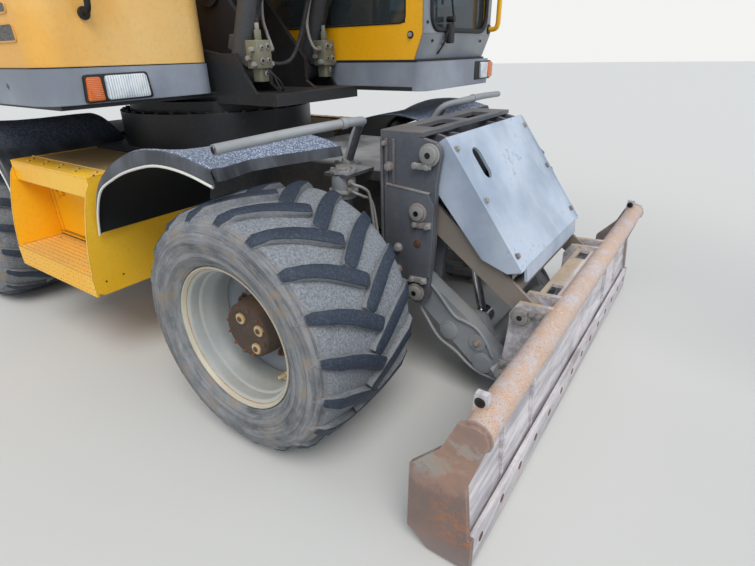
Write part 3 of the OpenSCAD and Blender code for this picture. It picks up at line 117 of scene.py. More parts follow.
# Hoses and cables
# Rubber hydraulic hoses with wire braid inside, crimped to steel ends at the boom and the valve
# blocks of the lift cylinders, and a thin sensor cable. Both ends of each one go into the machine.
def smooth_line(points, steps, y=0):
    """Points of a smooth curve through the given ones. Side points (x, z) take the given y."""
    points = [Vector(point if len(point) > 2 else (point[0], y, point[1])) for point in points]
    ends = [points[0] * 2 - points[1]] + points + [points[-1] * 2 - points[-2]]
    line = []
    for a, b, c, d in zip(ends, ends[1:], ends[2:], ends[3:]):
        for step in range(steps):
            t = step / steps
            line.append(0.5 * (2 * b + (c - a) * t + (2 * a - 5 * b + 4 * c - d) * t ** 2
                               + (3 * b - a - 3 * c + d) * t ** 3))
    return line + [points[-1]]


def shade(code):
    """Linear colour of a six-digit sRGB code."""
    parts = [int(code[i:i + 2], 16) / 255 for i in (0, 2, 4)]
    return tuple(p / 12.92 if p <= 0.04045 else ((p + 0.055) / 1.055) ** 2.4 for p in parts) + (1,)


class Wire:
    """One socket of a finish. Sums and products on it add Math nodes."""

    def __init__(self, coat, socket):
        self.coat, self.socket = coat, socket

    def maths(self, operation, *values):
        return self.coat.node("ShaderNodeMath", {"operation": operation}, dict(enumerate(values)))

    def __add__(self, other):
        return self.maths("ADD", self, other)

    def __sub__(self, other):
        return self.maths("SUBTRACT", self, other)

    def __rsub__(self, other):
        return self.maths("SUBTRACT", other, self)

    def __mul__(self, other):
        return self.maths("MULTIPLY", self, other)

    __radd__ = __add__
    __rmul__ = __mul__

    def spread(self, low, high):
        """Stretches low..high to 0..1 and clips the rest."""
        return self.coat.node("ShaderNodeMapRange", {"interpolation_type": "SMOOTHSTEP"},
                              {"Value": self, "From Min": low, "From Max": high})


class Finish:
    """A material with the patterns that painted, rusty and dusty surfaces share."""

    def __init__(self, name, **plain):
        self.material = bpy.data.materials.new(name)
        self.material.use_nodes = True
        self.tree = self.material.node_tree
        self.shader = self.tree.nodes["Principled BSDF"]
        for socket, value in plain.items():
            self.shader.inputs[socket.replace("_", " ")].default_value = value
        self.place = self.node("ShaderNodeTexCoord", output="Object")

    def node(self, kind, settings=None, sockets=None, output=0):
        node = self.tree.nodes.new(kind)
        for key, value in (settings or {}).items():
            setattr(node, key, value)
        for key, value in (sockets or {}).items():
            if isinstance(value, str):
                value = shade(value)
            if isinstance(value, Wire):
                self.tree.links.new(value.socket, node.inputs[key])
            else:
                node.inputs[key].default_value = value
        return Wire(self, node.outputs[output])

    def stretched(self, stretch):
        return self.node("ShaderNodeMapping", None, {"Vector": self.place, "Scale": stretch})

    def noise(self, scale, detail, stretch=(1, 1, 1), rough=0.55, warp=0):
        return self.node("ShaderNodeTexNoise", None, {
            "Vector": self.stretched(stretch), "Scale": scale, "Detail": detail, "Roughness": rough,
            "Distortion": warp})

    def ring_noise(self, stretch, rings, detail, rough=0.5, warp=0):
        """Noise that changes quickly from one radius to the next."""
        return self.node("ShaderNodeTexNoise", {"noise_dimensions": "4D"},
                         {"Vector": self.stretched((stretch,) * 3), "W": self.attribute("ring")
                          * rings, "Scale": 1, "Detail": detail, "Roughness": rough,
                          "Distortion": warp})

    def cells(self, scale):
        return self.node("ShaderNodeTexVoronoi", None,
                         {"Vector": self.stretched((1, 1, 1)), "Scale": scale}, "Distance")

    def ribs(self, direction, scale):
        return self.node("ShaderNodeTexWave", {"bands_direction": direction},
                         {"Vector": self.place, "Scale": scale}, "Fac")

    def attribute(self, name):
        return self.node("ShaderNodeAttribute", {"attribute_name": name}, output="Fac")

    def mix(self, factor, first, second):
        return self.node("ShaderNodeMix", {"data_type": "RGBA"}, {0: factor, 6: first, 7: second},
                         2)

    def layers(self, base, *coats):
        """Lays colours over a base, each as its pattern goes from a low to a high value."""
        for pattern, low, high, amount, code in coats:
            base = self.mix(pattern.spread(low, high) * amount, base, code)
        return base

    def facing_up(self):
        own = self.node("ShaderNodeTexCoord", output="Normal")
        return self.node("ShaderNodeSeparateXYZ", None, {0: own}, 2)

    def along(self, axis):
        return self.node("ShaderNodeSeparateXYZ", None, {0: self.place}, axis)

    def edge(self, radius):
        """Rises from 0 on flat faces to about 0.3 on sharp edges."""
        soft = self.node("ShaderNodeBevel", {"samples": 3}, {"Radius": radius})
        flat = self.node("ShaderNodeNewGeometry", output="Normal")
        return 1 - self.node("ShaderNodeVectorMath", {"operation": "DOT_PRODUCT"},
                             {0: soft, 1: flat}, "Value")

    def done(self, colour, rough, bump=None, depth=0.002):
        for socket, value in (("Base Color", colour), ("Roughness", rough)):
            if isinstance(value, Wire):
                self.tree.links.new(value.socket, self.shader.inputs[socket])
            else:
                self.shader.inputs[socket].default_value = value
        if bump is not None:
            raised = self.node("ShaderNodeBump", None,
                               {"Height": bump, "Distance": depth, "Strength": 0.6})
            self.tree.links.new(raised.socket, self.shader.inputs["Normal"])
        return self.material


def worn_paint(name, colour, faded, dust="998a74", bare="4a4744", rust="6e3a1c", dusty=0.5,
               chips=0.5, rusty=0.3, rough=0.42, streaky=0.3):
    """Paint that has faded in patches, chipped to dark primer along its edges and gathered dust."""
    coat = Finish(name)
    patches = coat.noise(1.6, 5).spread(0.35, 0.7)
    fine = coat.noise(55, 6)
    speckle = coat.noise(240, 3)
    base = coat.mix(patches, colour, faded)
    base = coat.mix(fine.spread(0.45, 0.8) * 0.16, base, dust)
    runs = coat.noise(5, 7, stretch=(1, 1, 0.16)).spread(0.5, 0.78)
    up = coat.facing_up().spread(0.55, 0.95)
    film = (up * coat.noise(3.2, 7).spread(0.28, 0.66) + runs * streaky) * dusty
    base = coat.mix(film, base, dust)
    corners = coat.edge(0.007) * 3.2 + coat.noise(26, 7) * 0.8
    worn = corners.spread(1.16 - 0.3 * chips, 1.32 - 0.3 * chips)
    base = coat.mix(worn, base, bare)
    rot = (worn * 0.35 + coat.noise(9, 8)).spread(0.93 - 0.28 * rusty, 1.05 - 0.24 * rusty)
    base = coat.mix(rot, base, rust)
    gloss = rough + film * 0.35 + rot * 0.3 + speckle * 0.1
    return coat.done(base, gloss, bump=fine * 0.25 + speckle * 0.2 - worn * 0.35 + rot * 0.3,
                     depth=0.0012)


hose_rubber = Finish("hose_rubber")
hose_dirt = hose_rubber.noise(18, 7, rough=0.65)
hose_grain = hose_rubber.noise(220, 3)
hose_skin = hose_rubber.mix(hose_dirt.spread(0.4, 0.68), "17181a", "303134")
hose_dust = hose_dirt * 0.7 + hose_grain * 0.5
hose_skin = hose_rubber.layers(hose_skin, (hose_dust, 0.68, 0.84, 0.6, "6f675b"))
hose_rubber.done(hose_skin, 0.5 + hose_dirt * 0.25, bump=hose_grain * 0.5 + hose_dirt * 0.4,
                 depth=0.001)


def lay_hose(name, points, diameter, body, steps=4, y=0):
    """Lays a hose through points drawn from the front axle, with both ends in the machine."""
    line = [ground + point for point in smooth_line(points, steps, y)]
    curve = bpy.data.curves.new(name, "CURVE")
    curve.dimensions = "3D"
    curve.bevel_depth = diameter / 2
    curve.bevel_resolution = 4
    curve.use_fill_caps = True
    spline = curve.splines.new("POLY")
    spline.points.add(len(line) - 1)
    for knot, point in zip(spline.points, line):
        knot.co = (*point, 1)
    curve.materials.append(hose_rubber.material)
    hose = show(name, curve)
    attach(hose, body)
    sum((b - a).length for a, b in zip(line, line[1:]))


# One crosses from the right valve block to the left cylinder's head, and two run up the fronts
# of the cylinders
lay_hose("hose_cross", [(-0.745, -0.2, 1.49), (-0.725, -0.135, 1.468), (-0.7, -0.06, 1.49),
                        (-0.68, -0.005, 1.58), (-0.645, 0.04, 1.75), (-0.59, 0.075, 1.95),
                        (-0.44, 0.115, 2.35), (-0.36, 0.15, 2.6), (-0.332, 0.18, 2.72),
                        (-0.325, 0.207, 2.8)], 0.024, "lift_barrels")
for side, y in (("left", 0.262), ("right", -0.262)):
    lay_hose("hose_lift_" + side, [(-0.728, 1.66), (-0.72, 1.7), (-0.694, 1.745), (-0.654, 1.8),
                                   (-0.578, 1.95), (-0.463, 2.227), (-0.349, 2.505), (-0.278, 2.69),
                                   (-0.262, 2.76), (-0.28, 2.81)], 0.02, "lift_barrels", 3,
             y)
lay_hose("sensor_cable", [(-0.765, -0.214, 1.478), (-0.742, -0.193, 1.45), (-0.716, -0.184, 1.405),
                          (-0.69, -0.183, 1.362), (-0.66, -0.19, 1.34), (-0.634, -0.205, 1.35),
                          (-0.632, -0.226, 1.386), (-0.655, -0.248, 1.42), (-0.69, -0.258, 1.447),
                          (-0.735, -0.262, 1.462)],
         0.009, "lift_barrels")
# Three run under the boom from its foot towards the knee
for number, y in enumerate((-0.07, 0, 0.07), 1):
    lay_hose(f"hose_boom_{number}", [(-0.97, y, 1.982), (-0.905, y, 1.955), (-0.83, y * 0.8, 1.985),
                                     (-0.757, y * 0.7, 2.12), (-0.579, y * 0.7, 2.422),
                                     (-0.376, y * 0.7, 2.766), (-0.234, y * 0.8, 3.031),
                                     (-0.192, y, 3.13), (-0.18, y, 3.21), (-0.2, y, 3.27)], 0.028,
             "base_boom", 3)

# Main frame and slewing ring
# A welded box of thick plate under checker plates, painted dark grey and grey with road dust. The
# ring between it and the upper structure is black with old grease.
def dress(material, *nodes):
    """Gives CAD nodes their finish."""
    for node in nodes:
        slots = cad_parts[node].data.materials
        slots.clear()
        slots.append(material)


frame_paint = worn_paint("frame_paint", "3b3d40", "54565a", dust="97989a", dusty=0.95, rusty=0.45)
ring_black = worn_paint("ring_black", "1d1e20", "2c2d30", dust="5a534a", dusty=0.5, chips=0.2,
                        rough=0.35)
dress(frame_paint, "chassis_frame")
dress(ring_black, "slew_ring", "front_axle", "rear_axle", "knuckle_left", "knuckle_right")


# Tyres
# Wide low-pressure tyres of black rubber, with nineteen arched lugs a side moulded onto the casing.
# Clay has dried between the lugs and over the side walls. Their tops are rubbed clean, with a
# painted sheen.
def finish_piece(name, form, body, *coats, slot, sharp=38):
    """Makes a mesh of a form, as a piece that rides on a body."""
    mesh = take_mesh(name, form)
    for coat in coats:
        mesh.materials.append(coat)
    mesh.polygons.foreach_set("use_smooth", [True] * len(mesh.polygons))
    mesh.set_sharp_from_angle(angle=math.radians(sharp))
    piece = show(name, mesh)
    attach(piece, body)
    return piece


def soften(form, edges, offset, segments=2):
    """Rounds edges."""
    bmesh.ops.bevel(form, geom=list(edges), offset=offset, segments=segments, profile=0.5,
                    affect="EDGES", material=-1)


def raise_faces(form, faces, by):
    """Extrudes faces by a vector and returns the raised vertices."""
    raised = bmesh.ops.extrude_face_region(form, geom=faces)["geom"]
    verts = [item for item in raised if isinstance(item, bmesh.types.BMVert)]
    bmesh.ops.translate(form, verts=verts, vec=by)
    return verts


def spin_outline(form, outline, steps, closed=True, coat=0):
    """Turns an outline of (radius, y) points into a ring about the y axis."""
    corners = [form.verts.new((radius, y, 0)) for radius, y in outline]
    lines = [form.edges.new(pair) for pair in zip(corners, corners[1:])]
    if closed:
        lines.append(form.edges.new((corners[-1], corners[0])))
    before = set(form.faces)
    bmesh.ops.spin(form, geom=corners + lines, cent=(0, 0, 0), axis=(0, 1, 0), angle=math.tau,
                   steps=steps, use_merge=True)
    fresh = [face for face in form.faces if face not in before]
    for face in fresh:
        face.material_index = coat
    verts = list({vert for face in fresh for vert in face.verts})
    bmesh.ops.remove_doubles(form, verts=verts, dist=0.00002)
    fresh = [face for face in form.faces if face not in before]
    bmesh.ops.recalc_face_normals(form, faces=fresh)
    return fresh


tyre_low, tyre_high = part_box("tyre_front_right")
tyre_r = (tyre_high.z - tyre_low.z) / 2
tyre_half = (tyre_high.y - tyre_low.y) / 2
shoulder_r = 0.13
shoulder_middle = tyre_r - 0.123
tread_half = 0.231
lug_count = 19
lug_turn = math.radians(3.5)
lug_height = 0.03
# Middle line of a lug: degrees up from its middle, distance out from the tyre's middle, half width
lug_line = [(6.3, 0.286, 0.017), (5.2, 0.262, 0.0235), (3.0, 0.215, 0.0255), (1.2, 0.172, 0.027),
            (-1.2, 0.128, 0.0285), (-3.8, 0.088, 0.03), (-6.6, 0.048, 0.031), (-9.4, 0.01, 0.0305),
            (-11.3, -0.016, 0.029), (-12.2, -0.028, 0.021)]


def crown(y):
    """Radius over the lugs at a distance from the tyre's middle."""
    y = abs(y)
    if y < tread_half:
        return tyre_r - 0.018 * y - 0.07 * max(0, y - 0.11) ** 1.1
    reach = y - tyre_half + shoulder_r
    return shoulder_middle + math.sqrt(shoulder_r ** 2 - reach ** 2)


def tread_floor(y):
    """Radius between the lugs, which come out of the shoulder."""
    return crown(y) - lug_height + 0.022 * max(0, (abs(y) - 0.225) / 0.06) ** 1.5


form = bmesh.new()
rows = len(lug_line)
grid = bmesh.ops.create_grid(form, x_segments=rows - 1, y_segments=2, size=1)["verts"]
for vert in grid:
    row = round((vert.co.x + 1) / 2 * (rows - 1))
    degrees, y, half = lug_line[row]
    ahead, behind = lug_line[min(row + 1, rows - 1)], lug_line[max(row - 1, 0)]
    run = Vector((math.radians(ahead[0] - behind[0]) * tyre_r, ahead[1] - behind[1])).normalized()
    shift = vert.co.y * half
    vert.co = (math.radians(degrees) * tyre_r - run.y * shift, y + run.x * shift, 0)
up = set(raise_faces(form, form.faces[:], (0, 0, lug_height)))
soften(form, [edge for edge in form.edges if set(edge.verts) <= up
              and any(not set(face.verts) <= up for face in edge.link_faces)], 0.006)
flat_lug = take_mesh("flat_lug", form)

tyre = bmesh.new()
wear = tyre.verts.layers.float.new("wear")
clay = tyre.verts.layers.float.new("clay")
ring = tyre.verts.layers.float.new("ring")
for side, step in ((1, 0), (-1, 0.46)):
    for lug in range(lug_count):
        known = len(tyre.verts)
        tyre.from_mesh(flat_lug)
        tyre.verts.ensure_lookup_table()
        for vert in tyre.verts[known:]:
            along, y, height = vert.co
            angle = lug_turn + math.tau * (lug + step) / lug_count + along / tyre_r
            radius = crown(y) - (lug_height + 0.004) * (1 - height / lug_height)
            near_top = max(0, 4 * height / lug_height - 3)
            vert[wear] = near_top * min(1, max(0, (0.292 - abs(y)) / 0.03))
            vert[clay] = 0.5
            vert.co = (radius * math.cos(angle), y * side, radius * math.sin(angle))
bmesh.ops.recalc_face_normals(tyre, faces=tyre.faces)
bpy.data.meshes.remove(flat_lug)
# Casing from the bead over the side wall, with a rib by the rim, to the middle of the tread
half_casing = [(0.288, 0.246), (0.3045, 0.2525), (0.306, 0.262)]
for degrees, rise in ((124, 0), (119, 0.002), (117, 0.0055), (114, 0.006), (112, 0.002), (106, 0),
                      (99, 0), (92, 0), (85, 0), (78, -0.001), (75, -0.004), (70, -0.003),
                      (65, -0.002)):
    angle = math.radians(degrees)
    half_casing.append((shoulder_middle + (shoulder_r + rise) * math.cos(angle),
                        tyre_half - shoulder_r + (shoulder_r + rise) * math.sin(angle)))
half_casing += [(tread_floor(y), y) for y in (0.274, 0.255, 0.23, 0.19, 0.15, 0.1, 0.05)]
inside = [(0.29, 0.206), (0.33, 0.235), (tyre_r - 0.1, 0.2), (tyre_r - 0.062, 0.11)]
outline = (half_casing + [(tread_floor(0), 0)] + [(r, -y) for r, y in reversed(half_casing)]
           + [(r, -y) for r, y in inside] + list(reversed(inside)))
casing = spin_outline(tyre, outline, lug_count * 8)
for vert in {vert for face in casing for vert in face.verts}:
    radius = math.hypot(vert.co.x, vert.co.z)
    vert[clay] = min(1, max(0, (0.275 - abs(vert.co.y)) / 0.03)) if radius > 0.43 else 0
for vert in tyre.verts:
    vert[ring] = math.hypot(vert.co.x, vert.co.z)
tyre_mesh = take_mesh("tyre", tyre)

rubber = Finish("tyre_rubber")
rubbed_and_sheen = rubber.attribute("wear")
muddy = rubber.attribute("clay")
scuffs = rubber.ring_noise(5, 40, 8, rough=0.75, warp=0.6)
rings = rubber.ring_noise(0.8, 170, 3)
grain = rubber.noise(120, 8, rough=0.72)
crumbs = rubber.noise(420, 2)
blotch = rubber.noise(7, 8, rough=0.65)
mud = rubber.noise(16, 7, rough=0.7, warp=0.8)
wall = rubber.mix((scuffs * 0.6 + blotch * 0.4).spread(0.34, 0.64), "515356", "93969a")
wall = rubber.layers(wall, (scuffs * 0.6 + grain * 0.6, 0.66, 0.82, 0.6, "a6a8aa"),
                     (rings, 0.56, 0.66, 0.45, "3b3d41"),
                     (blotch + mud * 0.5, 0.74, 0.95, 0.8, "8f7c64"))
groove = rubber.mix(grain.spread(0.3, 0.7), "62666b", "9a9fa6")
groove = rubber.layers(groove, (crumbs, 0.62, 0.72, 0.5, "43464b"),
                       (mud * 0.8 + grain * 0.4, 0.72, 0.84, 0.55, "85796b"),
                       (blotch * 0.8 + scuffs * 0.4, 0.66, 0.8, 0.45, "6f7680"))
# Lug tops: rubber rubbed clean, painted blue-grey as a sheen of the sky
top = rubber.mix(grain.spread(0.4, 0.78), "252e3b", "47556a")
top = rubber.layers(top, (crumbs * 0.7 + grain * 0.7, 0.86, 0.98, 0.7, "8f8c86"))
skin = rubber.mix((muddy * 0.9 + blotch * 0.7 + mud * 0.5 - 0.72).spread(0.1, 0.62), wall, groove)
skin = rubber.mix((rubbed_and_sheen * 1.4 + grain * 0.8 - 0.4).spread(0.45, 0.8), skin, top)
rubber.done(skin, 0.9 - rubbed_and_sheen * 0.3, bump=grain * 0.8 + crumbs * 0.35 + rings * 0.2 + scuffs * 0.4,
            depth=0.004)

# Rims and hubs
# Steel rims pressed in steps and painted pale grey, now chipped and rusting at the flange. The
# planetary hub stands in the dish with its plugs and nuts, brown with rust.
# The barrel's darker grey and the disc's blue-grey, beside the cream flange, are painted shade in
# the wheel's dish
rim_grey = worn_paint("rim_grey", "a3a8a8", "bdbfb8", dust="80766a", bare="7a6350", rust="7d4a26",
                      dusty=0.5, chips=0.75, rusty=0.42, rough=0.38)
rim_cream = worn_paint("rim_cream", "c4c0ae", "d6d1bf", dust="9a7f60", bare="8a6844", rust="8a4f26",
                       dusty=0.35, chips=0.85, rusty=0.5, rough=0.4)
disc_blue = worn_paint("disc_blue", "7d858d", "949a9e", dust="756d62", bare="6b5b4c", dusty=0.5,
                       chips=0.3, rusty=0.3, rough=0.45)
hub_rust = worn_paint("hub_rust", "4a3d36", "5d4a3e", dust="85674c", bare="33302e", rust="b4622a",
                      dusty=0.5, chips=0.5, rusty=0.95, rough=0.7)
plug_cream = worn_paint("plug_cream", "c2ab7c", "d0bf98", dust="8f8064", dusty=0.4, chips=0.4,
                        rusty=0.3)
rim = bmesh.new()
lip = [(0.3, 0.2515), (0.3018, 0.256), (0.3018, 0.262), (0.2995, 0.2648), (0.2955, 0.2648),
       (0.292, 0.261), (0.29, 0.25), (0.2835, 0.243), (0.2765, 0.24), (0.2735, 0.236),
       (0.2725, 0.207), (0.2705, 0.201), (0.2625, 0.196), (0.2595, 0.19), (0.2545, 0.157),
       (0.2505, 0.151), (0.249, 0.12)]
back = [(0.287, 0.2455), (0.285, 0.2), (0.26, 0.15)]
barrel = spin_outline(rim, lip + [(r, -y) for r, y in reversed(lip)] + [(r, -y) for r, y in back]
                      + list(reversed(back)), 96)
# Flange faces take the cream coat; the barrel inside keeps the darker grey of painted shade
for face in barrel:
    if abs(face.calc_center_median().y) > 0.245:
        face.material_index = 4
spin_outline(rim, [(0.2515, 0.05), (0.2515, 0.064), (0.243, 0.067), (0.226, 0.076), (0.2, 0.075),
                   (0.172, 0.064), (0.125, 0.062), (0.125, 0.047), (0.17, 0.049), (0.21, 0.06),
                   (0.235, 0.053)], 96, coat=1)
spin_outline(rim, [(0, 0.186), (0.03, 0.186), (0.034, 0.183), (0.082, 0.183), (0.09, 0.186),
                   (0.103, 0.186), (0.113, 0.181), (0.1175, 0.172), (0.1185, 0.15), (0.1215, 0.145),
                   (0.123, 0.115), (0.1245, 0.11), (0.1245, 0.05), (0.05, 0.05), (0.05, 0.058),
                   (0, 0.058)], 64, closed=False, coat=2)


def round_bar(form, start, end, radius, segments=24, coat=0, soft=0.0):
    """Adds a round bar between two points, with softened ends."""
    start, end = Vector(start), Vector(end)
    run = end - start
    facing = run.to_track_quat("Z", "Y").to_matrix().to_4x4()
    verts = bmesh.ops.create_cone(form, cap_ends=True, segments=segments, radius1=radius,
                                  radius2=radius, depth=run.length,
                                  matrix=Matrix.Translation((start + end) / 2) @ facing)["verts"]
    faces = {face for vert in verts for face in vert.link_faces}
    for face in faces:
        face.material_index = coat
    if soft:
        soften(form, {edge for face in faces if len(face.verts) > 4 for edge in face.edges}, soft)


def hex_bolt(form, place, out, across, coat=0, proud=0.65):
    """Adds a hexagon head on its washer, standing out of a face."""
    place, out = Vector(place), Vector(out).normalized()
    washer = across * 0.71875
    round_bar(form, place - out * 0.002, place + out * across * 0.12, washer, 20, coat, 0.0006)
    round_bar(form, place, place + out * across * proud, across / math.sqrt(3), 6, coat,
              across * 0.05)


def around(radius, turn, y):
    """Point at a part of a turn around the wheel's axis."""
    angle = math.tau * turn
    return Vector((radius * math.cos(angle), y, radius * math.sin(angle)))


nut_count, plug_count = 10, 12
for nut in range(nut_count):
    foot = around(0.1475, (nut + 0.3) / nut_count, 0.062)
    hex_bolt(rim, foot, (0, 1, 0), 0.03, coat=2, proud=0.8)
    round_bar(rim, foot, foot + Vector((0, 0.036, 0)), 0.0085, 12, 2, 0.001)
for x, z in ((0.078, 0.03), (-0.02, 0.055), (0.05, -0.06)):
    foot = Vector((x, 0.183, z))
    round_bar(rim, foot, foot + Vector((0, 0.011, 0)), 0.0235, 24, 3, 0.002)
    round_bar(rim, foot, foot + Vector((0, 0.0155, 0)), 0.0115, 6, 2, 0.001)
for plug in range(plug_count):
    foot = around(0.103, (plug + 0.5) / plug_count, 0.185)
    round_bar(rim, foot, foot + Vector((0, 0.008, 0)), 0.007, 6, 2, 0.0008)
# Valve in its guard, welded inside the drop of the rim
valve_turn = -52 / 360
valve_foot = around(0.238, valve_turn, 0.1)
valve_place = Matrix.Translation(valve_foot) @ Matrix.Rotation(-math.tau * valve_turn, 4, "Y")
valve_guard = bmesh.ops.create_cube(
    rim, size=1, matrix=valve_place @ Matrix.Diagonal((0.04, 0.08, 0.06, 1)))["verts"]
for face in {face for vert in valve_guard for face in vert.link_faces}:
    face.material_index = 3
soften(rim, {edge for vert in valve_guard for edge in vert.link_edges}, 0.006)
round_bar(rim, valve_foot, valve_foot + Vector((-0.01, 0.07, 0.01)), 0.008, 16, 3, 0.001)
rim_mesh = take_mesh("rim", rim)
rim_coats = [rim_grey, disc_blue, hub_rust, plug_cream, rim_cream]
for corner in ("front_left", "front_right", "rear_left", "rear_right"):
    low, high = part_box("tyre_" + corner)
    middle = (low + high) / 2
    outward = -1 if corner.endswith("right") else 1
    place = Matrix.Translation(middle) @ Matrix.Diagonal((1, outward, 1, 1))
    for mesh, node, coats, slot in ((tyre_mesh, "tyre_", [rubber.material], "tyre"),
                                    (rim_mesh, "rim_", rim_coats, "rim_paint")):
        form = bmesh.new()
        form.from_mesh(mesh)
        bmesh.ops.transform(form, matrix=place, verts=form.verts)
        if outward < 0:
            bmesh.ops.reverse_faces(form, faces=form.faces)
        piece = finish_piece(node + "finish_" + corner, form, "wheel_" + corner, *coats, slot=slot)
        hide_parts(node + corner)

# Mudguards and deck
# Moulded guards, one over each wheel, of dark plastic with a white bead along the outer edge. Boots
# have scuffed their grained tops, which are painted pale blue-grey as a sheen of the sky. Bent
# pipes on the deck keep the feet off the front ones.
def pipe(form, line, radius, segments, coat):
    """Adds a round pipe along a line of points."""
    line = [Vector(point) for point in line]
    before = set(form.faces)
    run = line[1] - line[0]
    facing = run.to_track_quat("Z", "Y").to_matrix().to_4x4()
    ring = bmesh.ops.create_circle(form, cap_ends=True, segments=segments, radius=radius,
                                   matrix=Matrix.Translation(line[0]) @ facing)["verts"]
    edges = list({edge for vert in ring for edge in vert.link_edges})
    for index, point in enumerate(line[1:], 1):
        raised = bmesh.ops.extrude_edge_only(form, edges=edges)["geom"]
        verts = [item for item in raised if isinstance(item, bmesh.types.BMVert)]
        edges = [item for item in raised if isinstance(item, bmesh.types.BMEdge)]
        ahead = (line[min(index + 1, len(line) - 1)] - line[index - 1]).normalized()
        swing = run.normalized().rotation_difference(ahead)
        bmesh.ops.rotate(form, verts=verts, cent=line[index - 1], matrix=swing.to_matrix())
        bmesh.ops.translate(form, verts=verts, vec=point - line[index - 1])
        run = ahead
    bmesh.ops.contextual_create(form, geom=edges)
    fresh = [face for face in form.faces if face not in before]
    bmesh.ops.recalc_face_normals(form, faces=fresh)
    for face in fresh:
        face.material_index = coat


def blend_line(points, spot):
    """Value at a spot along a table of (place, value)."""
    for (a, low), (b, high) in zip(points, points[1:]):
        if spot <= b or (b, high) == points[-1]:
            return low + (high - low) * min(1, max(0, (spot - a) / (b - a)))


guard_finish = Finish("guard_plastic")
grain_size = guard_finish.cells(130)
grain_soft = guard_finish.noise(60, 6, rough=0.7)
guard_up = guard_finish.facing_up().spread(0.72, 0.97)
guard_wear = guard_finish.noise(2.4, 6)
guard_skirt = guard_finish.mix(guard_finish.noise(9, 6, stretch=(1, 1, 0.3)).spread(0.4, 0.7),
                               "34373c", "565b62")
guard_grain = (grain_size * 0.9 + grain_soft * 0.6).spread(0.5, 0.78)
# Pale blue-grey of the grained tops: painted sky sheen over the dust and scuffs
guard_top_sheen = guard_finish.mix(guard_grain, "c6d2e4", "66728a")
guard_top_sheen = guard_finish.layers(guard_top_sheen, (guard_wear, 0.5, 0.75, 0.5, "8a8f97"))
guard_finish.done(guard_finish.mix(guard_up, guard_skirt, guard_top_sheen), 0.38 + guard_up * 0.3,
                  bump=grain_size * guard_up + grain_soft * 0.3, depth=0.003)
# Near-black for the guards' undersides and brackets and the rails' open ends: painted shade under
# the guards and inside the pipes
guard_black_and_shade = worn_paint("guard_black_and_shade", "0e0f10", "17181a", dust="2a2724", dusty=0.4, chips=0,
                         rusty=0, rough=0.8)
bead_white = worn_paint("bead_white", "dcdcd6", "e9e9e4", dust="9a948a", dusty=0.2, chips=0.1,
                        rusty=0, rough=0.35)
rail_grey = worn_paint("rail_grey", "8e9296", "a5a9ad", dust="8a8076", bare="5c4f45", rust="7a4a2a",
                       dusty=0.35, chips=0.9, rusty=0.5, rough=0.5)
# Ridge and bead of a guard seen from the side, from its low end behind the wheel to its nose
guard_ridge = [(-0.952, 0.768), (-0.937, 0.865), (-0.9, 0.955), (-0.838, 1.032), (-0.75, 1.094),
               (-0.64, 1.148), (-0.51, 1.189), (-0.39, 1.205), (-0.27, 1.207), (-0.15, 1.192),
               (-0.045, 1.168)]
guard_bead = [(-0.95, 0.757), (-0.918, 0.855), (-0.866, 0.945), (-0.806, 1.003), (-0.7, 1.053),
              (-0.6, 1.092), (-0.48, 1.125), (-0.37, 1.1455), (-0.26, 1.147), (-0.15, 1.134),
              (-0.032, 1.107)]
# Front edge of the top at distances from the machine's middle
guard_front = [(0.415, -0.09), (0.563, -0.115), (0.653, -0.163), (0.813, -0.195), (0.874, -0.2),
               (0.992, -0.158), (1.155, -0.053), (1.19, -0.04)]
# Rows across a guard: distance out, how far down from the ridge towards the bead, drop of the top
guard_rows = [(1.19, 1, 0), (1.191, 0.6, 0), (1.189, 0.25, 0), (1.182, 0.07, 0), (1.17, 0, 0.001),
              (1.15, 0, 0.005), (1.1, 0, 0.016), (1, 0, 0.03), (0.88, 0, 0.037), (0.75, 0, 0.04),
              (0.6, 0, 0.04), (0.5, 0, 0.04), (0.415, 0, 0.042)]
ridge_line, bead_line = smooth_line(guard_ridge, 4), smooth_line(guard_bead, 4)
last_ridge, nose_columns, skirt_rows = len(ridge_line) - 1, 2, 3
columns = len(ridge_line) + nose_columns


def guard_point(column, row):
    """Point of a guard's sheet at a column along it and a row across it."""
    out, down, drop = guard_rows[row]
    spot = min(column, last_ridge)
    high, low = ridge_line[spot], bead_line[spot]
    point = high.lerp(low, down)
    point.z -= drop * min(1, max(0, (point.z - 0.8) / 0.25))
    flat = min(1, max(0, (point.x + 0.42) / 0.36))
    if row > skirt_rows:
        point.x += flat * (blend_line(guard_front, out) + 0.045)
    if column > last_ridge:
        # The nose folds down past the top's front edge
        fold = (0.014, 0, -0.045) if row > skirt_rows else (0.0028, 0, 0)
        point += Vector(fold) * (column - last_ridge) / nose_columns
    return Vector((point.x, out, point.z))


form = bmesh.new()
grid = bmesh.ops.create_grid(form, x_segments=columns - 1, y_segments=len(guard_rows) - 1,
                             size=1)["verts"]
for vert in grid:
    vert.co = guard_point(round((vert.co.x + 1) / 2 * (columns - 1)),
                          round((vert.co.y + 1) / 2 * (len(guard_rows) - 1)))
bmesh.ops.recalc_face_normals(form, faces=form.faces)
if sum(face.normal.z for face in form.faces) < 0:
    bmesh.ops.reverse_faces(form, faces=form.faces)
bmesh.ops.solidify(form, geom=form.faces[:], thickness=0.006)
for face in form.faces:
    # The underside takes the near-black coat, as painted shade
    outer = face.normal.z > 0.02 or face.normal.y > 0.6 or face.normal.x < -0.6
    face.material_index = 0 if outer else 1
pipe(form, [point + Vector((0, 1.1925, 0)) for point in bead_line], 0.0055, 8, 2)
guard_mesh = take_mesh("guard", form)
rear_x = sum(corner.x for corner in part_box("rim_rear_right")) / 2
guards = bmesh.new()
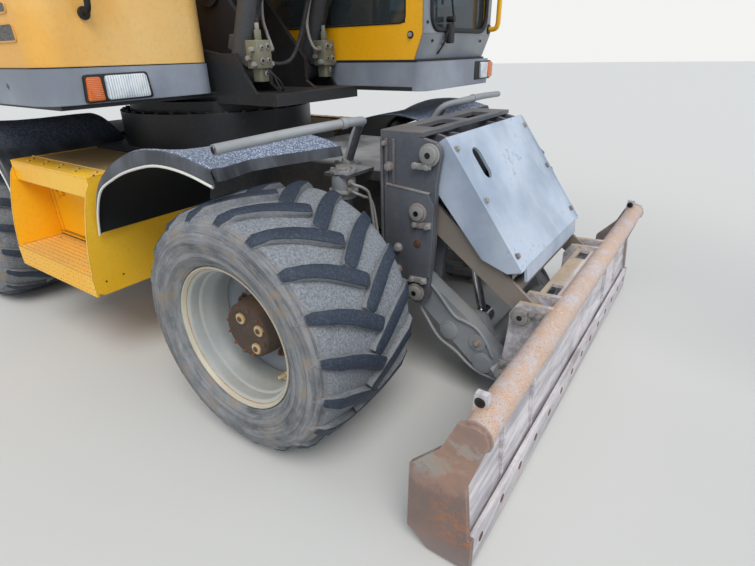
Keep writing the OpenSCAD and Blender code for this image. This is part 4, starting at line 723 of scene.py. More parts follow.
for axle_x, along in ((ground.x, 1), (rear_x, -0.8)):
    for side in (-1, 1):
        known_faces, known_verts = len(guards.faces), len(guards.verts)
        guards.from_mesh(guard_mesh)
        guards.verts.ensure_lookup_table()
        guards.faces.ensure_lookup_table()
        place = Matrix.Translation((axle_x, 0, 0)) @ Matrix.Diagonal((along, side, 1, 1))
        bmesh.ops.transform(guards, verts=guards.verts[known_verts:], matrix=place)
        if along * side < 0:
            bmesh.ops.reverse_faces(guards, faces=guards.faces[known_faces:])
        # Bracket between the guard and the deck
        x = axle_x - math.copysign(0.33, along)
        pipe(guards, smooth_line([(x, side * 1.05, 1.145), (x, side * 0.6, 1.12),
                                  (x, side * 0.42, 1.1), (x, side * 0.38, 1.02)], 5), 0.02, 10, 1)
guard_piece = finish_piece("mudguard_shells", guards, "chassis", guard_finish.material, guard_black_and_shade,
                           bead_white, slot="dark_plastic", sharp=50)
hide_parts("mudguards")

rails = bmesh.new()
for side in (-1, 1):
    rail = smooth_line([(0.016, 1.203, 1.24), (0.06, 0.86, 1.254), (0.09, 0.65, 1.259),
                        (0.102, 0.568, 1.26), (0.08, 0.47, 1.252), (0.02, 0.4, 1.23),
                        (-0.03, 0.385, 1.17), (-0.082, 0.38, 1.035)], 8)
    rail = [ground + Vector((point.x, side * point.y, point.z)) for point in rail]
    pipe(rails, rail, 0.0185, 20, 0)
    # Near-black disc in the rail's open end: painted shade inside the pipe
    mouth = rail[0] - Vector((0, side * 0.001, 0))
    round_bar(rails, mouth, mouth + Vector((0, side * 0.0015, 0)), 0.0125, 20, 1)
    # Collar at the bend, and the foot
    for spot, back, wide in ((20, 19, 0.0225), (-1, -3, 0.03)):
        run = (rail[back] - rail[spot]).normalized()
        round_bar(rails, rail[spot], rail[spot] + run * 0.03, wide, 20, 0, 0.003)
finish_piece("guard_rails", rails, "chassis", rail_grey, guard_black_and_shade, slot="grey_paint")

# Blade bracket, arms and links
# Thick plates bolted to the frame's front carry cast arms and flat links on greased pins. Their
# dark paint has worn to grey steel with thin rust. A bent sheet shields the cylinders.
bracket_grey = worn_paint("bracket_grey", "50555e", "6b6f78", dust="8d8478", bare="8f8e8c",
                          dusty=0.45, chips=0.9, rusty=0.5, rough=0.4, streaky=0.6)
cast_grey = worn_paint("cast_grey", "757a80", "959ba1", dust="8d877c", bare="9a9b9c", dusty=0.6,
                       chips=0.8, rusty=0.35, rough=0.55)
link_brown = worn_paint("link_brown", "857c74", "988d83", dust="8d8478", bare="5b5652", dusty=0.4,
                        chips=0.4, rusty=0.5, rough=0.5)
pin_steel = worn_paint("pin_steel", "8a8a88", "a09f9b", dust="756b60", bare="b4b4b2", rust="6e4026",
                       dusty=0.4, chips=0.8, rusty=0.6, rough=0.35)
grease = worn_paint("grease", "101011", "1a1a1b", dust="38332d", dusty=0.3, chips=0, rusty=0,
                    rough=0.3)
brass = worn_paint("brass", "b08a5a", "c7a272", dust="7a6a58", dusty=0.3, chips=0.4, rusty=0.4,
                   rough=0.35)
plate_blue = Finish("plate_blue", Coat_Weight=0.1)
blue_patch = plate_blue.noise(2.5, 7)
blue_fine = plate_blue.noise(40, 8, rough=0.7)
blue_run = plate_blue.noise(7, 7, stretch=(0.4, 1, 0.4), rough=0.65)
blue_coat = plate_blue.mix(blue_patch.spread(0.35, 0.65), "97a5b8", "bbc7d8")
blue_spots = plate_blue.noise(11, 5, warp=0.6) * 0.9 + blue_fine * 0.25
blue_coat = plate_blue.layers(blue_coat, (blue_run, 0.45, 0.75, 0.6, "c3ccd4"),
                              (blue_fine * 0.6 + blue_patch * 0.5, 0.62, 0.75, 0.7, "7d858d"),
                              (blue_spots, 0.77, 0.82, 0.8, "595f66"),
                              (plate_blue.edge(0.006) * 3, 0.3, 0.7, 0.8, "5a5f64"))
plate_blue.done(blue_coat, 0.38 + blue_fine * 0.25, bump=blue_fine * 0.5 + blue_run * 0.4,
                depth=0.0015)
dress(bracket_grey, "blade_bracket")
dress(cast_grey, "blade_arms")
dress(link_brown, "blade_links")
dress(plate_blue.material, "blade_guard")


def extrude_plate(form, outline, near, far, coat=0, soft=0.003):
    """Adds a plate with a side outline of (x, z) points, between two distances out."""
    verts = [form.verts.new((x, near, z)) for x, z in outline]
    face = form.faces.new(verts)
    before = set(form.faces) - {face}
    raise_faces(form, [face], (0, far - near, 0))
    if not face.is_valid or face not in form.faces:
        bmesh.ops.contextual_create(form, geom=verts)
    fresh = [f for f in form.faces if f not in before]
    bmesh.ops.recalc_face_normals(form, faces=fresh)
    if soft:
        soften(form, {edge for f in fresh for edge in f.edges
                      if abs(edge.verts[0].co.y - edge.verts[1].co.y) < 0.0001}, soft)
    for f in set(form.faces) - before:
        f.material_index = coat


def pin_head(form, x, z, face, plate=(0.05, -0.055), radius=0.033, coats=(1, 2)):
    """Adds a greased pin's head with its bore, and the lock plate with two bolts beside it."""
    round_bar(form, (x, face - 0.001, z), (x, face + 0.007, z), radius + 0.01, 32, coats[0], 0.002)
    round_bar(form, (x, face + 0.006, z), (x, face + 0.02, z), radius, 32, coats[0], 0.004)
    round_bar(form, (x, face + 0.0195, z), (x, face + 0.0215, z), radius * 0.36, 20, coats[1])
    across, down = plate
    lock = [(x + across - 0.045, z + down - 0.013), (x + across + 0.045, z + down - 0.006),
            (x + across + 0.045, z + down + 0.02), (x + across - 0.045, z + down + 0.014)]
    extrude_plate(form, lock, face - 0.001, face + 0.009, coats[0], 0.002)
    for shift in (-0.028, 0.028):
        hex_bolt(form, (x + across + shift, face + 0.009, z + down + 0.004), (0, 1, 0), 0.021,
                 coats[0])


def place_once(form, name, body, *coats, slot):
    """Puts a form, drawn from the front axle, onto the machine."""
    bmesh.ops.translate(form, verts=form.verts[:], vec=ground)
    return finish_piece(name, form, body, *coats, slot=slot)


def place_both(form, name, body, *coats, slot="cast_steel"):
    """Puts a left half, drawn from the front axle, onto both sides."""
    copy = bmesh.ops.duplicate(form, geom=form.verts[:] + form.edges[:] + form.faces[:])["geom"]
    verts = [item for item in copy if isinstance(item, bmesh.types.BMVert)]
    faces = [item for item in copy if isinstance(item, bmesh.types.BMFace)]
    bmesh.ops.scale(form, verts=verts, vec=(1, -1, 1))
    bmesh.ops.reverse_faces(form, faces=faces)
    place_once(form, name, body, *coats, slot=slot)


cheek_y = 0.466
form = bmesh.new()
# Thick cheek plate with its bright upper and lower edges, over the outer plate
extrude_plate(form, [(0.2, 0.56), (0.33, 0.545), (0.43, 0.6), (0.445, 0.76), (0.445, 0.93),
                     (0.415, 0.985), (0.24, 1.0), (0.2, 0.985)], cheek_y - 0.001, cheek_y + 0.014,
              0, 0.004)
for bright_edge in ([(0.21, 0.994), (0.42, 0.978), (0.424, 0.985), (0.21, 1.002)],
                    [(0.3, 0.553), (0.42, 0.57), (0.42, 0.577), (0.3, 0.56)]):
    extrude_plate(form, bright_edge, cheek_y, cheek_y + 0.017, 1, 0.002)
# Folded flange down the rear edge
for x in (0.176, 0.2, 0.236):
    extrude_plate(form, [(x, 0.62), (x + 0.014, 0.62), (x + 0.014, 1.19), (x, 1.19)],
                  cheek_y - 0.001, cheek_y + 0.011, 0, 0.004)
pin_head(form, 0.42, 1.141, cheek_y + 0.012, (-0.035, -0.052), 0.036)
pin_head(form, 0.372, 0.893, cheek_y + 0.014, (0.02, -0.056), 0.033)
pin_head(form, 0.367, 0.512, cheek_y + 0.012, (0.012, 0.062), 0.034)
for x, z, across in ((0.225, 1.075, 0.03), (0.272, 0.715, 0.03), (0.272, 0.61, 0.03),
                     (0.2, 1.17, 0.018)):
    hex_bolt(form, (x, cheek_y + 0.012, z), (0, 1, 0), across, 1)
for proud, radius, soft in ((0.0155, 0.021, 0.002), (0.0165, 0.011, 0.001)):
    round_bar(form, (0.372, cheek_y + 0.012, 0.75), (0.372, cheek_y + proud, 0.75), radius, 24, 3,
              soft)
# Bolted feet on the bracket's front plate
for z in (0.69, 0.82, 0.95, 1.08):
    for y in (0.05, 0.13):
        hex_bolt(form, (0.207, y, z), (1, 0, 0), 0.03, 1)
place_both(form, "bracket_fittings", "chassis", bracket_grey, pin_steel, grease, hub_rust)

# Cylinder that locks the front axle: domed cap, flange with bolts, and two bent steel pipes
form = bmesh.new()
lock_x, lock_y = 0.028, 0.55
for low, high, radius, segments, coat, soft in (
        (1.04, 1.056, 0.062, 8, 0, 0.004), (1.054, 1.069, 0.034, 24, 1, 0.005),
        (0.93, 1.036, 0.0535, 32, 0, 0.003), (0.955, 0.972, 0.066, 32, 1, 0.003)):
    round_bar(form, (lock_x, lock_y, low), (lock_x, lock_y, high), radius, segments, coat, soft)
for degrees in range(20, 380, 60):
    angle = math.radians(degrees)
    hex_bolt(form, (lock_x + 0.047 * math.cos(angle), lock_y + 0.047 * math.sin(angle), 1.055),
             (0, 0, 1), 0.016, 1)
for rise, reach in ((1.01, 0.0), (0.975, 0.03)):
    round_bar(form, (0.07, 0.57, rise), (0.1, 0.585, rise), 0.014, 6, 1, 0.001)
    line = smooth_line([(0.09, 0.58, rise), (0.13, 0.6, rise - 0.002),
                        (0.155 - reach * 0.3, 0.57, rise - 0.02),
                        (0.162 - reach * 0.3, 0.54 - reach, rise - 0.06),
                        (0.166, 0.52 - reach, rise - 0.2), (0.168, 0.5 - reach, 0.7)], 6)
    pipe(form, line, 0.0065, 10, 1)
# Foot plate of the rail, with two bolts
extrude_plate(form, [(-0.13, 1.03), (-0.035, 1.03), (-0.035, 1.042), (-0.13, 1.042)], 0.33, 0.43, 0,
              0.003)
for x in (-0.115, -0.05):
    hex_bolt(form, (x, 0.415, 1.042), (0, 0, 1), 0.02, 1)
place_both(form, "axle_lock_fittings", "chassis", cast_grey, pin_steel)

arm_out = 0.43
form = bmesh.new()
# Cast bosses of an arm, with their sunk plugs, and a pin's retaining bolt
for x, z, big, coat in ((0.523, 0.336, 0.046, 0), (0.701, 0.216, 0.052, 0),
                        (0.669, 0.317, 0.024, 1)):
    round_bar(form, (x, arm_out - 0.002, z), (x, arm_out + 0.0085, z), big, 40, 0, 0.003)
    round_bar(form, (x, arm_out + 0.007, z), (x, arm_out + 0.0105, z), big * 0.8, 40, coat, 0.0015)
hex_bolt(form, (0.669, arm_out + 0.009, 0.317), (0, 1, 0), 0.022, 2)
# Raised ribs along the upper and the lower edge
upper_rib = [(0.40, 0.565), (0.46, 0.51), (0.545, 0.42), (0.6, 0.405), (0.66, 0.385), (0.71, 0.33),
             (0.745, 0.265)]
lower_rib = [(0.33, 0.47), (0.4, 0.37), (0.47, 0.28), (0.56, 0.235), (0.63, 0.185), (0.7, 0.158),
             (0.79, 0.15)]
for rib, radius in ((upper_rib, 0.0085), (lower_rib, 0.007)):
    pipe(form, smooth_line(rib, 5, arm_out + 0.001), radius, 10, 0)
place_both(form, "arm_castings", "blade_arms", cast_grey, brass, pin_steel)

# Sheet over the cylinders: its screws, and the hem down each side
top, low_edge = Vector((0.462, 0, 1.205)), Vector((0.832, 0, 0.7))
slope = (low_edge - top).normalized()
face_out = Vector((-slope.z, 0, slope.x))
if face_out.z < 0:
    face_out = -face_out
form = bmesh.new()
for run in (0.06, 0.3, 0.56):
    spot = top + slope * run + Vector((0, 0.395, 0)) + face_out * 0.001
    hex_bolt(form, spot, face_out, 0.019, 1)
hem = Vector((0, 0.424, 0))
pipe(form, [top + hem + slope * 0.01, low_edge + hem - slope * 0.01], 0.0065, 10, 0)
place_both(form, "guard_fittings", "blade_guard", plate_blue.material, pin_steel)

# Step boxes
# Pressed and welded sheet in a deep warm yellow gloss, bolted to both sides of the frame. The
# treads have raised dashes, with dirt rubbed into the upper one. The right box holds a locker.
step_yellow = worn_paint("step_yellow", "ffbc14", "ffc938", dust="a58552", dusty=0.3, chips=0.25,
                         rusty=0.1, rough=0.3, streaky=0.15)
tread_pale = worn_paint("tread_pale", "f2bb55", "f7cc78", dust="b4935c", dusty=0.4, chips=0.3,
                        rusty=0.1, rough=0.4)
deck_dust = worn_paint("deck_dust", "a3834f", "b5935a", dust="8f7654", bare="7d6c4e", dusty=0.8,
                       chips=0.4, rusty=0.2, rough=0.7)
# Dark brown for the seams, and for the holes, where it is painted shade
dark_seam_and_hole_shade = worn_paint("dark_seam_and_hole_shade", "2a221a", "3a2c20", dusty=0.2, chips=0, rough=0.8)
dress(step_yellow, "step_boxes", "toolbox_door")


def soft_box(form, low, high, soft, coat=0, segments=3):
    """Adds a box between two corners, with rounded edges."""
    low, high = Vector(low), Vector(high)
    middle, size = (low + high) / 2, high - low
    before = set(form.faces)
    place = Matrix.Translation(middle) @ Matrix.Diagonal((*size, 1))
    verts = bmesh.ops.create_cube(form, size=1, matrix=place)["verts"]
    soften(form, {edge for vert in verts for edge in vert.link_edges}, soft, segments)
    for face in set(form.faces) - before:
        face.material_index = coat


def tread_dash(form, place, lean, upright, coat, size=1.0):
    """Adds one raised dash of a tread's pattern."""
    turned = Matrix.Translation(place) @ upright @ Matrix.Rotation(lean, 4, "Z")
    dash = bmesh.ops.create_cone(form, cap_ends=True, segments=6, radius1=0.009 * size,
                                 radius2=0.0055 * size, depth=0.0034,
                                 matrix=turned @ Matrix.Diagonal((1, 0.36, 1, 1)))["verts"]
    for face in {face for vert in dash for face in vert.link_faces}:
        face.material_index = coat


form = bmesh.new()
flat, wall_up = Matrix(), Matrix.Rotation(-math.pi / 2, 4, "X")
soft_box(form, (-1.788, 1.006, 0.557), (-0.98, 1.266, 0.5605), 0.0015, 1, 1)
dash_pitch, dash_lean = 0.027, math.radians(42)
for column in range(30):
    for row in range(9):
        x = -1.773 + dash_pitch * column
        x += dash_pitch / 2 * (row % 2) * (x < -1.0)
        lean = dash_lean if (column + row) % 2 else -dash_lean
        tread_dash(form, (x, 1.024 + 0.0278 * row, 0.5612), lean, flat, 1)
        if row < 4:
            tread_dash(form, (x, 1.2702, 0.464 + 0.0262 * row), lean, wall_up, 0)
# Upper step: dusty plate, folded edge with pierced grips, and the welt along it
soft_box(form, (-1.788, 0.705, 1.0165), (-0.978, 1.062, 1.0205), 0.0015, 2, 1)
soft_box(form, (-1.79, 1.056, 1.014), (-0.976, 1.1715, 1.0265), 0.004, 0, 2)
pipe(form, [(-1.789, 1.058, 1.027), (-0.977, 1.058, 1.027)], 0.0042, 8, 1)
for row, y in enumerate((1.09, 1.133)):
    for column in range(5):
        x = -1.71 + 0.165 * column + 0.05 * row
        tread_dash(form, (x, y, 1.0275), math.radians(8), flat, 1, 2.6)
        # The grips' holes are dark discs of painted shade
        round_bar(form, (x + 0.017, y, 1.0262), (x + 0.017, y, 1.0292), 0.0042, 8, 3)
        round_bar(form, (x + 0.026, y + 0.006, 1.0262), (x + 0.026, y + 0.006, 1.027), 0.003, 8, 3)
# Seam under the locker's front, and the drain hole and the holes low in the front end plate drawn
# as dark discs of painted shade
pipe(form, [(-1.786, 1.032, 0.5655), (-0.984, 1.032, 0.5655)], 0.0026, 6, 3)
pipe(form, [(-1.786, 1.0305, 0.584), (-0.984, 1.0305, 0.584)], 0.0018, 6, 3)
round_bar(form, (-1.72, 1.07, 0.5602), (-1.72, 1.07, 0.5613), 0.006, 16, 3)
for y, z in ((1.21, 0.516), (1.12, 0.522)):
    round_bar(form, (-0.9764, y, z), (-0.9752, y, z), 0.0052, 16, 3)
# Weld where the treads meet the end plates
for x in (-0.984, -1.782):
    pipe(form, [(x, 1.01 + 0.0125 * step, 0.562 + 0.0008 * (step % 2)) for step in range(20)],
         0.0032, 6, 0)
place_both(form, "step_treads", "chassis", step_yellow, tread_pale, deck_dust, dark_seam_and_hole_shade,
           slot="yellow_paint")

form = bmesh.new()
door_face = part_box("toolbox_door")[0].y + 0.018
round_bar(form, (-1.665, door_face + 0.003, 0.842), (-1.665, door_face - 0.0025, 0.842), 0.021, 28,
          0, 0.001)
round_bar(form, (-1.665, door_face, 0.842), (-1.665, door_face - 0.0032, 0.842), 0.0155, 28, 1,
          0.0008)
place_once(form, "locker_lock", "toolbox_door", step_yellow, dark_seam_and_hole_shade, slot="yellow_paint")

# Blade
# Mouldboard rolled from thick plate, with a tube welded along its top, plates on both ends and a
# bolted cutting edge. Bare steel, streaked with rust, scraped bright where earth slides over it.
steel = Finish("blade_steel")
board_x, board_y, board_z = steel.along(0), steel.along(1), steel.along(2)
local_x = board_x - ground.x
tube_x, tube_z = local_x - 1.003, board_z - 0.548
off_tube = (tube_x * tube_x + tube_z * tube_z).spread(0.0026, 0.0034)
board_out = steel.node("ShaderNodeMath", {"operation": "ABSOLUTE"}, {0: board_y})
board_end = board_out.spread(1.226, 1.232)
cloud = steel.noise(3.4, 8, rough=0.62)
patch = steel.noise(11, 8, rough=0.7, warp=0.5)
fine = steel.noise(70, 7, rough=0.7)
speck = steel.noise(260, 3)
diagonal = steel.node("ShaderNodeMapping", None, {"Vector": steel.place, "Rotation": (0.62, 0, 0),
                                                  "Scale": (1, 0.12, 1)})
streaks = steel.node("ShaderNodeTexNoise", None, {"Vector": diagonal, "Scale": 26, "Detail": 8,
                                                  "Roughness": 0.7})
scraped = steel.mix(streaks.spread(0.34, 0.64), "a7a3aa", "dcd8da")
scraped = steel.layers(scraped, (fine * 0.7 + cloud * 0.4, 0.56, 0.74, 0.7, "d0c9c5"),
                       (patch * 0.8 + streaks * 0.5, 0.76, 0.9, 0.6, "a98467"),
                       (cloud * 0.9 + speck * 0.2, 0.62, 0.72, 0.35, "5d5557"))
tube_coat = steel.mix(patch.spread(0.36, 0.62), "c9c0c0", "cdab93")
tube_coat = steel.layers(tube_coat, (cloud + fine * 0.3, 0.72, 0.9, 0.6, "c08c5f"),
                         (patch * 0.5 + fine * 0.7, 0.64, 0.76, 0.75, "dcd2ca"),
                         (speck + fine * 0.4, 0.74, 0.84, 0.5, "5f4a3e"))
end_coat = steel.mix(cloud.spread(0.38, 0.62), "83706a", "a08070")
end_coat = steel.layers(end_coat, (board_z - 0.19 + patch * 0.22, 0.24, 0.2, 0.5, "6a5c58"))
middle_band = board_z.spread(0.3, 0.38) * (1 - board_z.spread(0.5, 0.56))
old_coat = (patch * 0.9 + fine * 0.25).spread(0.56, 0.62) * middle_band
end_coat = steel.mix(old_coat * 0.85, end_coat, "9a9a94")
lower_front = local_x.spread(0.84, 0.96) * (1 - board_z.spread(0.45, 0.54))
bright = (fine + patch * 0.7).spread(0.86, 0.96) * lower_front
end_coat = steel.mix(bright * 0.45, end_coat, "bd7136")
end_coat = steel.layers(end_coat, (steel.noise(30, 5, stretch=(0.15, 1, 1)), 0.62, 0.7, 0.4,
                                   "a38a70"))
skin = steel.mix(off_tube, tube_coat, scraped)
skin = steel.mix(board_end, skin, end_coat)
cover = steel.facing_up().spread(0.9, 0.97) * local_x.spread(0.955, 0.93)
cover_coat = steel.mix(patch.spread(0.4, 0.65), "b9a184", "a08f7c")
skin = steel.mix(cover * 0.9, skin, cover_coat)
skin = steel.mix((1 - board_z.spread(0.035, 0.12)) * 0.4, skin, "8a8486")
skin = steel.layers(skin, (steel.edge(0.008) * 3.2 + fine * 0.5, 0.62, 0.9, 0.6, "a99c92"))
steel.done(skin, 0.42 + fine * 0.3 + patch * 0.1, bump=fine * 0.6 + streaks * 0.5 + speck * 0.2,
           depth=0.003)
dress(steel.material, "blade")

form = bmesh.new()
# Weld beads: tube to board, end plates to tube and board
pipe(form, [(0.967, y / 50, 0.512 + 0.0015 * (y % 3 - 1)) for y in range(1, 62)], 0.0065, 8, 0)
tube_ring = [Vector((1.003, 0, 0.548)) + around(0.05, step / 12, 1.229) for step in range(13)]
pipe(form, tube_ring, 0.0065, 8, 0)
board_edge = [(1.0, 0.48), (0.986, 0.44), (0.98, 0.357), (0.988, 0.22), (1.01, 0.1)]
pipe(form, smooth_line(board_edge, 5, 1.229), 0.006, 8, 0)
# Bolts of the cutting edge, with their square necks worn flush
for step in range(7):
    y = 0.09 + step * 0.18
    round_bar(form, (1.028, y, 0.095), (1.0305, y, 0.095), 0.0165, 20, 1, 0.001)
# Pins of the arms and links, with their lock plates
pin_head(form, 0.861, 0.529, 0.469, (0.045, 0.02), 0.033, (2, 3))
pin_head(form, 0.816, 0.222, 0.469, (0.02, 0.058), 0.034, (2, 3))
# Ring of the lifting eye, worn into its plate
round_bar(form, (0.982, 1.136, 0.612), (0.982, 1.164, 0.612), 0.017, 24, 3, 0.001)
place_both(form, "blade_fittings", "blade", steel.material, hub_rust, pin_steel, grease)

# Cylinders and steering rods
# Barrels of drawn tube, painted dark and pinned at their closed ends. The rods that slide in them
# and the steering rod between the knuckles are hard chrome.
barrel_dark = worn_paint("barrel_dark", "3a3c3f", "4b4d50", dust="7d766b", dusty=0.45, chips=0.4,
                         rusty=0.25)
dress(barrel_dark, "blade_barrels", "lift_barrels", "adjust_barrel", "stick_barrel",
      "bucket_barrel", "tie_rod_left", "tie_rod_right")
chrome = Finish("chrome", Metallic=1.0, Roughness=0.18)
chrome_smear = chrome.noise(30, 5, stretch=(1, 1, 0.3))
chrome.done(chrome.mix(chrome_smear.spread(0.5, 0.8), "c9ccd0", "8f8d88"),
            chrome_smear * 0.25 + 0.08)
dress(chrome.material, "blade_rods", "lift_rods", "adjust_rod", "stick_rod", "bucket_rod",
      "steering_rod")

# Covers, doors and cab in yellow
# Sheet covers of the engine bay, faded to a pale orange by the sun, with black mesh behind their
# slots. The cab is pressed and welded, and its glass sits in rubber.
cover_yellow = worn_paint("cover_yellow", "efb250", "f6c97c", dust="a08a66", dusty=0.3, chips=0.15,
                          rusty=0.08, rough=0.35)
cab_yellow = worn_paint("cab_yellow", "fbb30a", "ffbe1c", dust="8f7c5c", dusty=0.2, chips=0.15,
                        rusty=0.05, rough=0.28)
# Black mesh: grey wires with near-black cells that are painted shade seen through its holes
mesh_black = Finish("mesh_black", Roughness=0.5)
mesh_hole_shade = mesh_black.cells(150)
mesh_black.done(mesh_black.mix(mesh_hole_shade.spread(0.28, 0.42), "060606", "6b6660"), 0.5, bump=mesh_hole_shade,
                depth=0.003)
rubber_black = worn_paint("rubber_black", "121314", "1c1d1f", dust="45413b", dusty=0.3, chips=0,
                          rusty=0, rough=0.55)
exhaust_steel = worn_paint("exhaust_steel", "5b4a40", "6f5847", dust="7d7264", bare="39322e",
                           rust="8a4a22", dusty=0.3, chips=0.5, rusty=0.9, rough=0.6)
dress(cover_yellow, "engine_bay", "engine_hood", "left_side_door", "right_side_door",
      "right_housing")
dress(cab_yellow, "cab_shell", "cab_door")


def round_corners(corners, radius, steps=6):
    """Outline with the given corners rounded off."""
    line = []
    count = len(corners)
    for index, corner in enumerate(corners):
        here = Vector(corner)
        back = Vector(corners[index - 1]) - here
        ahead = Vector(corners[(index + 1) % count]) - here
        reach = min(radius, back.length * 0.49, ahead.length * 0.49)
        a, b = here + back.normalized() * reach, here + ahead.normalized() * reach
        for step in range(steps + 1):
            t = step / steps
            line.append(tuple(a * (1 - t) ** 2 + here * 2 * t * (1 - t) + b * t ** 2))
    return line


def round_box(low, high, radius, steps=6):
    """Outline of a rectangle with its corners rounded off."""
    return round_corners([low, (high[0], low[1]), high, (low[0], high[1])], radius, steps)


def lay_bead(form, outline, y, radius, segments, coat):
    """Adds a closed bead along a side outline of (x, z) points."""
    line = [(x, y, z) for x, z in outline]
    pipe(form, line + line[:1], radius, segments, coat)


# Engine doors: slots over mesh, a flush latch and the pressed frame around them
for side, body in ((1, "left_side_door"), (-1, "right_side_door")):
    form = bmesh.new()
    face = side * 1.235
    for row in range(4):
        z = 1.59 + 0.07 * row
        slot_line = round_box((-2.72, z), (-2.2, z + 0.036), 0.016)
        extrude_plate(form, slot_line, face - side * 0.004, face + side * 0.0022, 1, 0)
        lay_bead(form, slot_line, face + side * 0.002, 0.0042, 8, 0)
    lay_bead(form, round_box((-2.8, 1.535), (-2.045, 1.93), 0.03), face + side * 0.0005, 0.0055, 8,
             0)
    extrude_plate(form, round_box((-2.775, 1.7), (-2.745, 1.8), 0.008), face - side * 0.003,
                  face + side * 0.006, 2, 0.002)
    round_bar(form, (-2.76, face, 1.72), (-2.76, face + side * 0.009, 1.72), 0.008, 16, 2, 0.001)
    place_once(form, body + "_fittings", body, cover_yellow, mesh_black.material, rubber_black,
               slot="faded_paint")

# Hood: rows of slots, two catches, and the exhaust stack with its flange and two rings
form = bmesh.new()
for row in range(9):
    x = -2.82 + 0.05 * row
    for y in (-0.62, 0.02):
        soft_box(form, (x, y, 2.272), (x + 0.026, y + 0.5, 2.2815), 0.003, 1, 2)
        soft_box(form, (x - 0.01, y - 0.004, 2.274), (x + 0.002, y + 0.504, 2.289), 0.0035, 0, 2)
for y in (-0.95, 0.95):
    soft_box(form, (-2.935, y - 0.03, 2.274), (-2.86, y + 0.03, 2.292), 0.006, 2, 2)
    hex_bolt(form, (-2.88, y, 2.29), (0, 0, 1), 0.02, 2)
stack_x, stack_y = -2.63, 0.56
# The stack's open mouth is a near-black disc: painted shade inside the pipe
for low, high, radius, coat, soft in ((2.279, 2.296, 0.078, 0, 0.004),
                                      (2.285, 2.4985, 0.0575, 3, 0.002),
                                      (2.4982, 2.4992, 0.049, 1, 0),
                                      (2.33, 2.344, 0.0605, 3, 0.003),
                                      (2.43, 2.444, 0.0605, 3, 0.003)):
    round_bar(form, (stack_x, stack_y, low), (stack_x, stack_y, high), radius, 40, coat, soft)
place_once(form, "hood_fittings", "engine_hood", cover_yellow, mesh_black.material, rubber_black,
           exhaust_steel, slot="faded_paint")

# Cab door: rubber round its glass, the handle in its dish, and the seam along its edge
form = bmesh.new()
face = 1.2505
seal = round_corners([(-1.23, 1.78), (-1.23, 2.91), (-0.5, 2.91), (-0.39, 2.8), (-0.28, 2.25),
                      (-0.28, 1.78)], 0.04, 5)
lay_bead(form, seal, face, 0.0105, 8, 1)
extrude_plate(form, round_box((-0.43, 1.645), (-0.275, 1.725), 0.02), face - 0.003, face + 0.003, 1,
              0.0015)
pipe(form, smooth_line([(-0.42, face, 1.7), (-0.41, face + 0.014, 1.7), (-0.38, face + 0.018, 1.7),
                        (-0.33, face + 0.018, 1.7), (-0.305, face + 0.01, 1.7), (-0.3, face, 1.7)],
                       4), 0.007, 10, 1)
round_bar(form, (-0.3, face, 1.668), (-0.3, face + 0.006, 1.668), 0.009, 20, 2, 0.001)
seam = round_corners([(-1.292, 1.548), (-1.292, 2.968), (-0.44, 2.968), (-0.33, 2.85),
                      (-0.222, 2.25), (-0.222, 1.548)], 0.03, 4)
lay_bead(form, seam, face - 0.0006, 0.0028, 6, 1)
place_once(form, "cab_door_fittings", "cab_door", cab_yellow, rubber_black, exhaust_steel,
           slot="dark_plastic")

# Cab: rubber round the right window, hatch in the roof with its two strips, and the mirror
form = bmesh.new()
seal = round_corners([(-1.3, 1.66), (-1.3, 2.94), (-0.46, 2.94), (-0.35, 2.85), (-0.21, 2.25),
                      (-0.21, 1.66)], 0.04, 5)
lay_bead(form, seal, 0.3455, 0.0058, 8, 1)
soft_box(form, (-1.5, 0.52, 3.124), (-0.86, 1.08, 3.152), 0.018, 0, 4)
hatch_line = [(x, y, 3.131) for x, y in round_box((-1.515, 0.505), (-0.845, 1.095), 0.04, 5)]
pipe(form, hatch_line + hatch_line[:1], 0.008, 8, 1)
for y in (0.66, 0.94):
    soft_box(form, (-1.42, y - 0.03, 3.148), (-0.94, y + 0.03, 3.158), 0.005, 0, 2)
pipe(form, smooth_line([(-0.16, 1.225, 2.72), (-0.09, 1.228, 2.72), (-0.03, 1.2, 2.7),
                        (-0.008, 1.14, 2.665), (-0.008, 1.135, 2.6)], 5), 0.009, 12, 1)
soft_box(form, (-0.03, 1.05, 2.3), (0.012, 1.222, 2.64), 0.016, 1, 4)
soft_box(form, (-0.0335, 1.062, 2.315), (-0.028, 1.21, 2.625), 0.0025, 2, 2)
mirror_glass = Finish("mirror_glass", Metallic=1.0)
mirror_haze = mirror_glass.noise(12, 6)
mirror_glass.done(mirror_glass.mix(mirror_haze.spread(0.55, 0.85), "c4ccd2", "9aa0a3"),
                  mirror_haze * 0.2 + 0.03)
place_once(form, "cab_fittings", "upper", cab_yellow, rubber_black, mirror_glass.material,
           slot="yellow_paint")

# Counterweight: round tail lamps let into the casting, and the black grille in its middle
form = bmesh.new()
lens_red = Finish("lens_red", Roughness=0.2, Coat_Weight=0.7)
red_ribs = lens_red.ribs("Z", 40)
lens_red.done(lens_red.mix(red_ribs * 0.6 + lens_red.noise(50, 3) * 0.3, "6a0f0c", "b02018"), 0.2,
              bump=red_ribs, depth=0.002)
tail_middle, tail_r = -1.45, 2.15
for y in (-0.86, -0.72, 0.72, 0.86):
    reach = math.sqrt(tail_r ** 2 - y ** 2)
    out_way = Vector((-reach, y, 0)).normalized()
    foot = Vector((tail_middle - reach, y, 1.72)) - out_way * 0.004
    round_bar(form, foot, foot + out_way * 0.008, 0.062, 32, 0, 0.002)
    round_bar(form, foot, foot + out_way * 0.016, 0.051, 32, 1 if abs(y) > 0.8 else 2, 0.005)
for bar in range(6):
    z = 1.585 + 0.05 * bar
    for y in (-0.24, -0.12, 0, 0.12):
        back = tail_middle - math.sqrt(tail_r ** 2 - (abs(y + 0.06) + 0.06) ** 2)
        soft_box(form, (back + 0.001, y + 0.006, z), (back + 0.03, y + 0.114, z + 0.02), 0.003, 0,
                 2)
place_once(form, "tail_fittings", "upper", rubber_black, lens_red.material, mesh_black.material,
           slot="lamp")

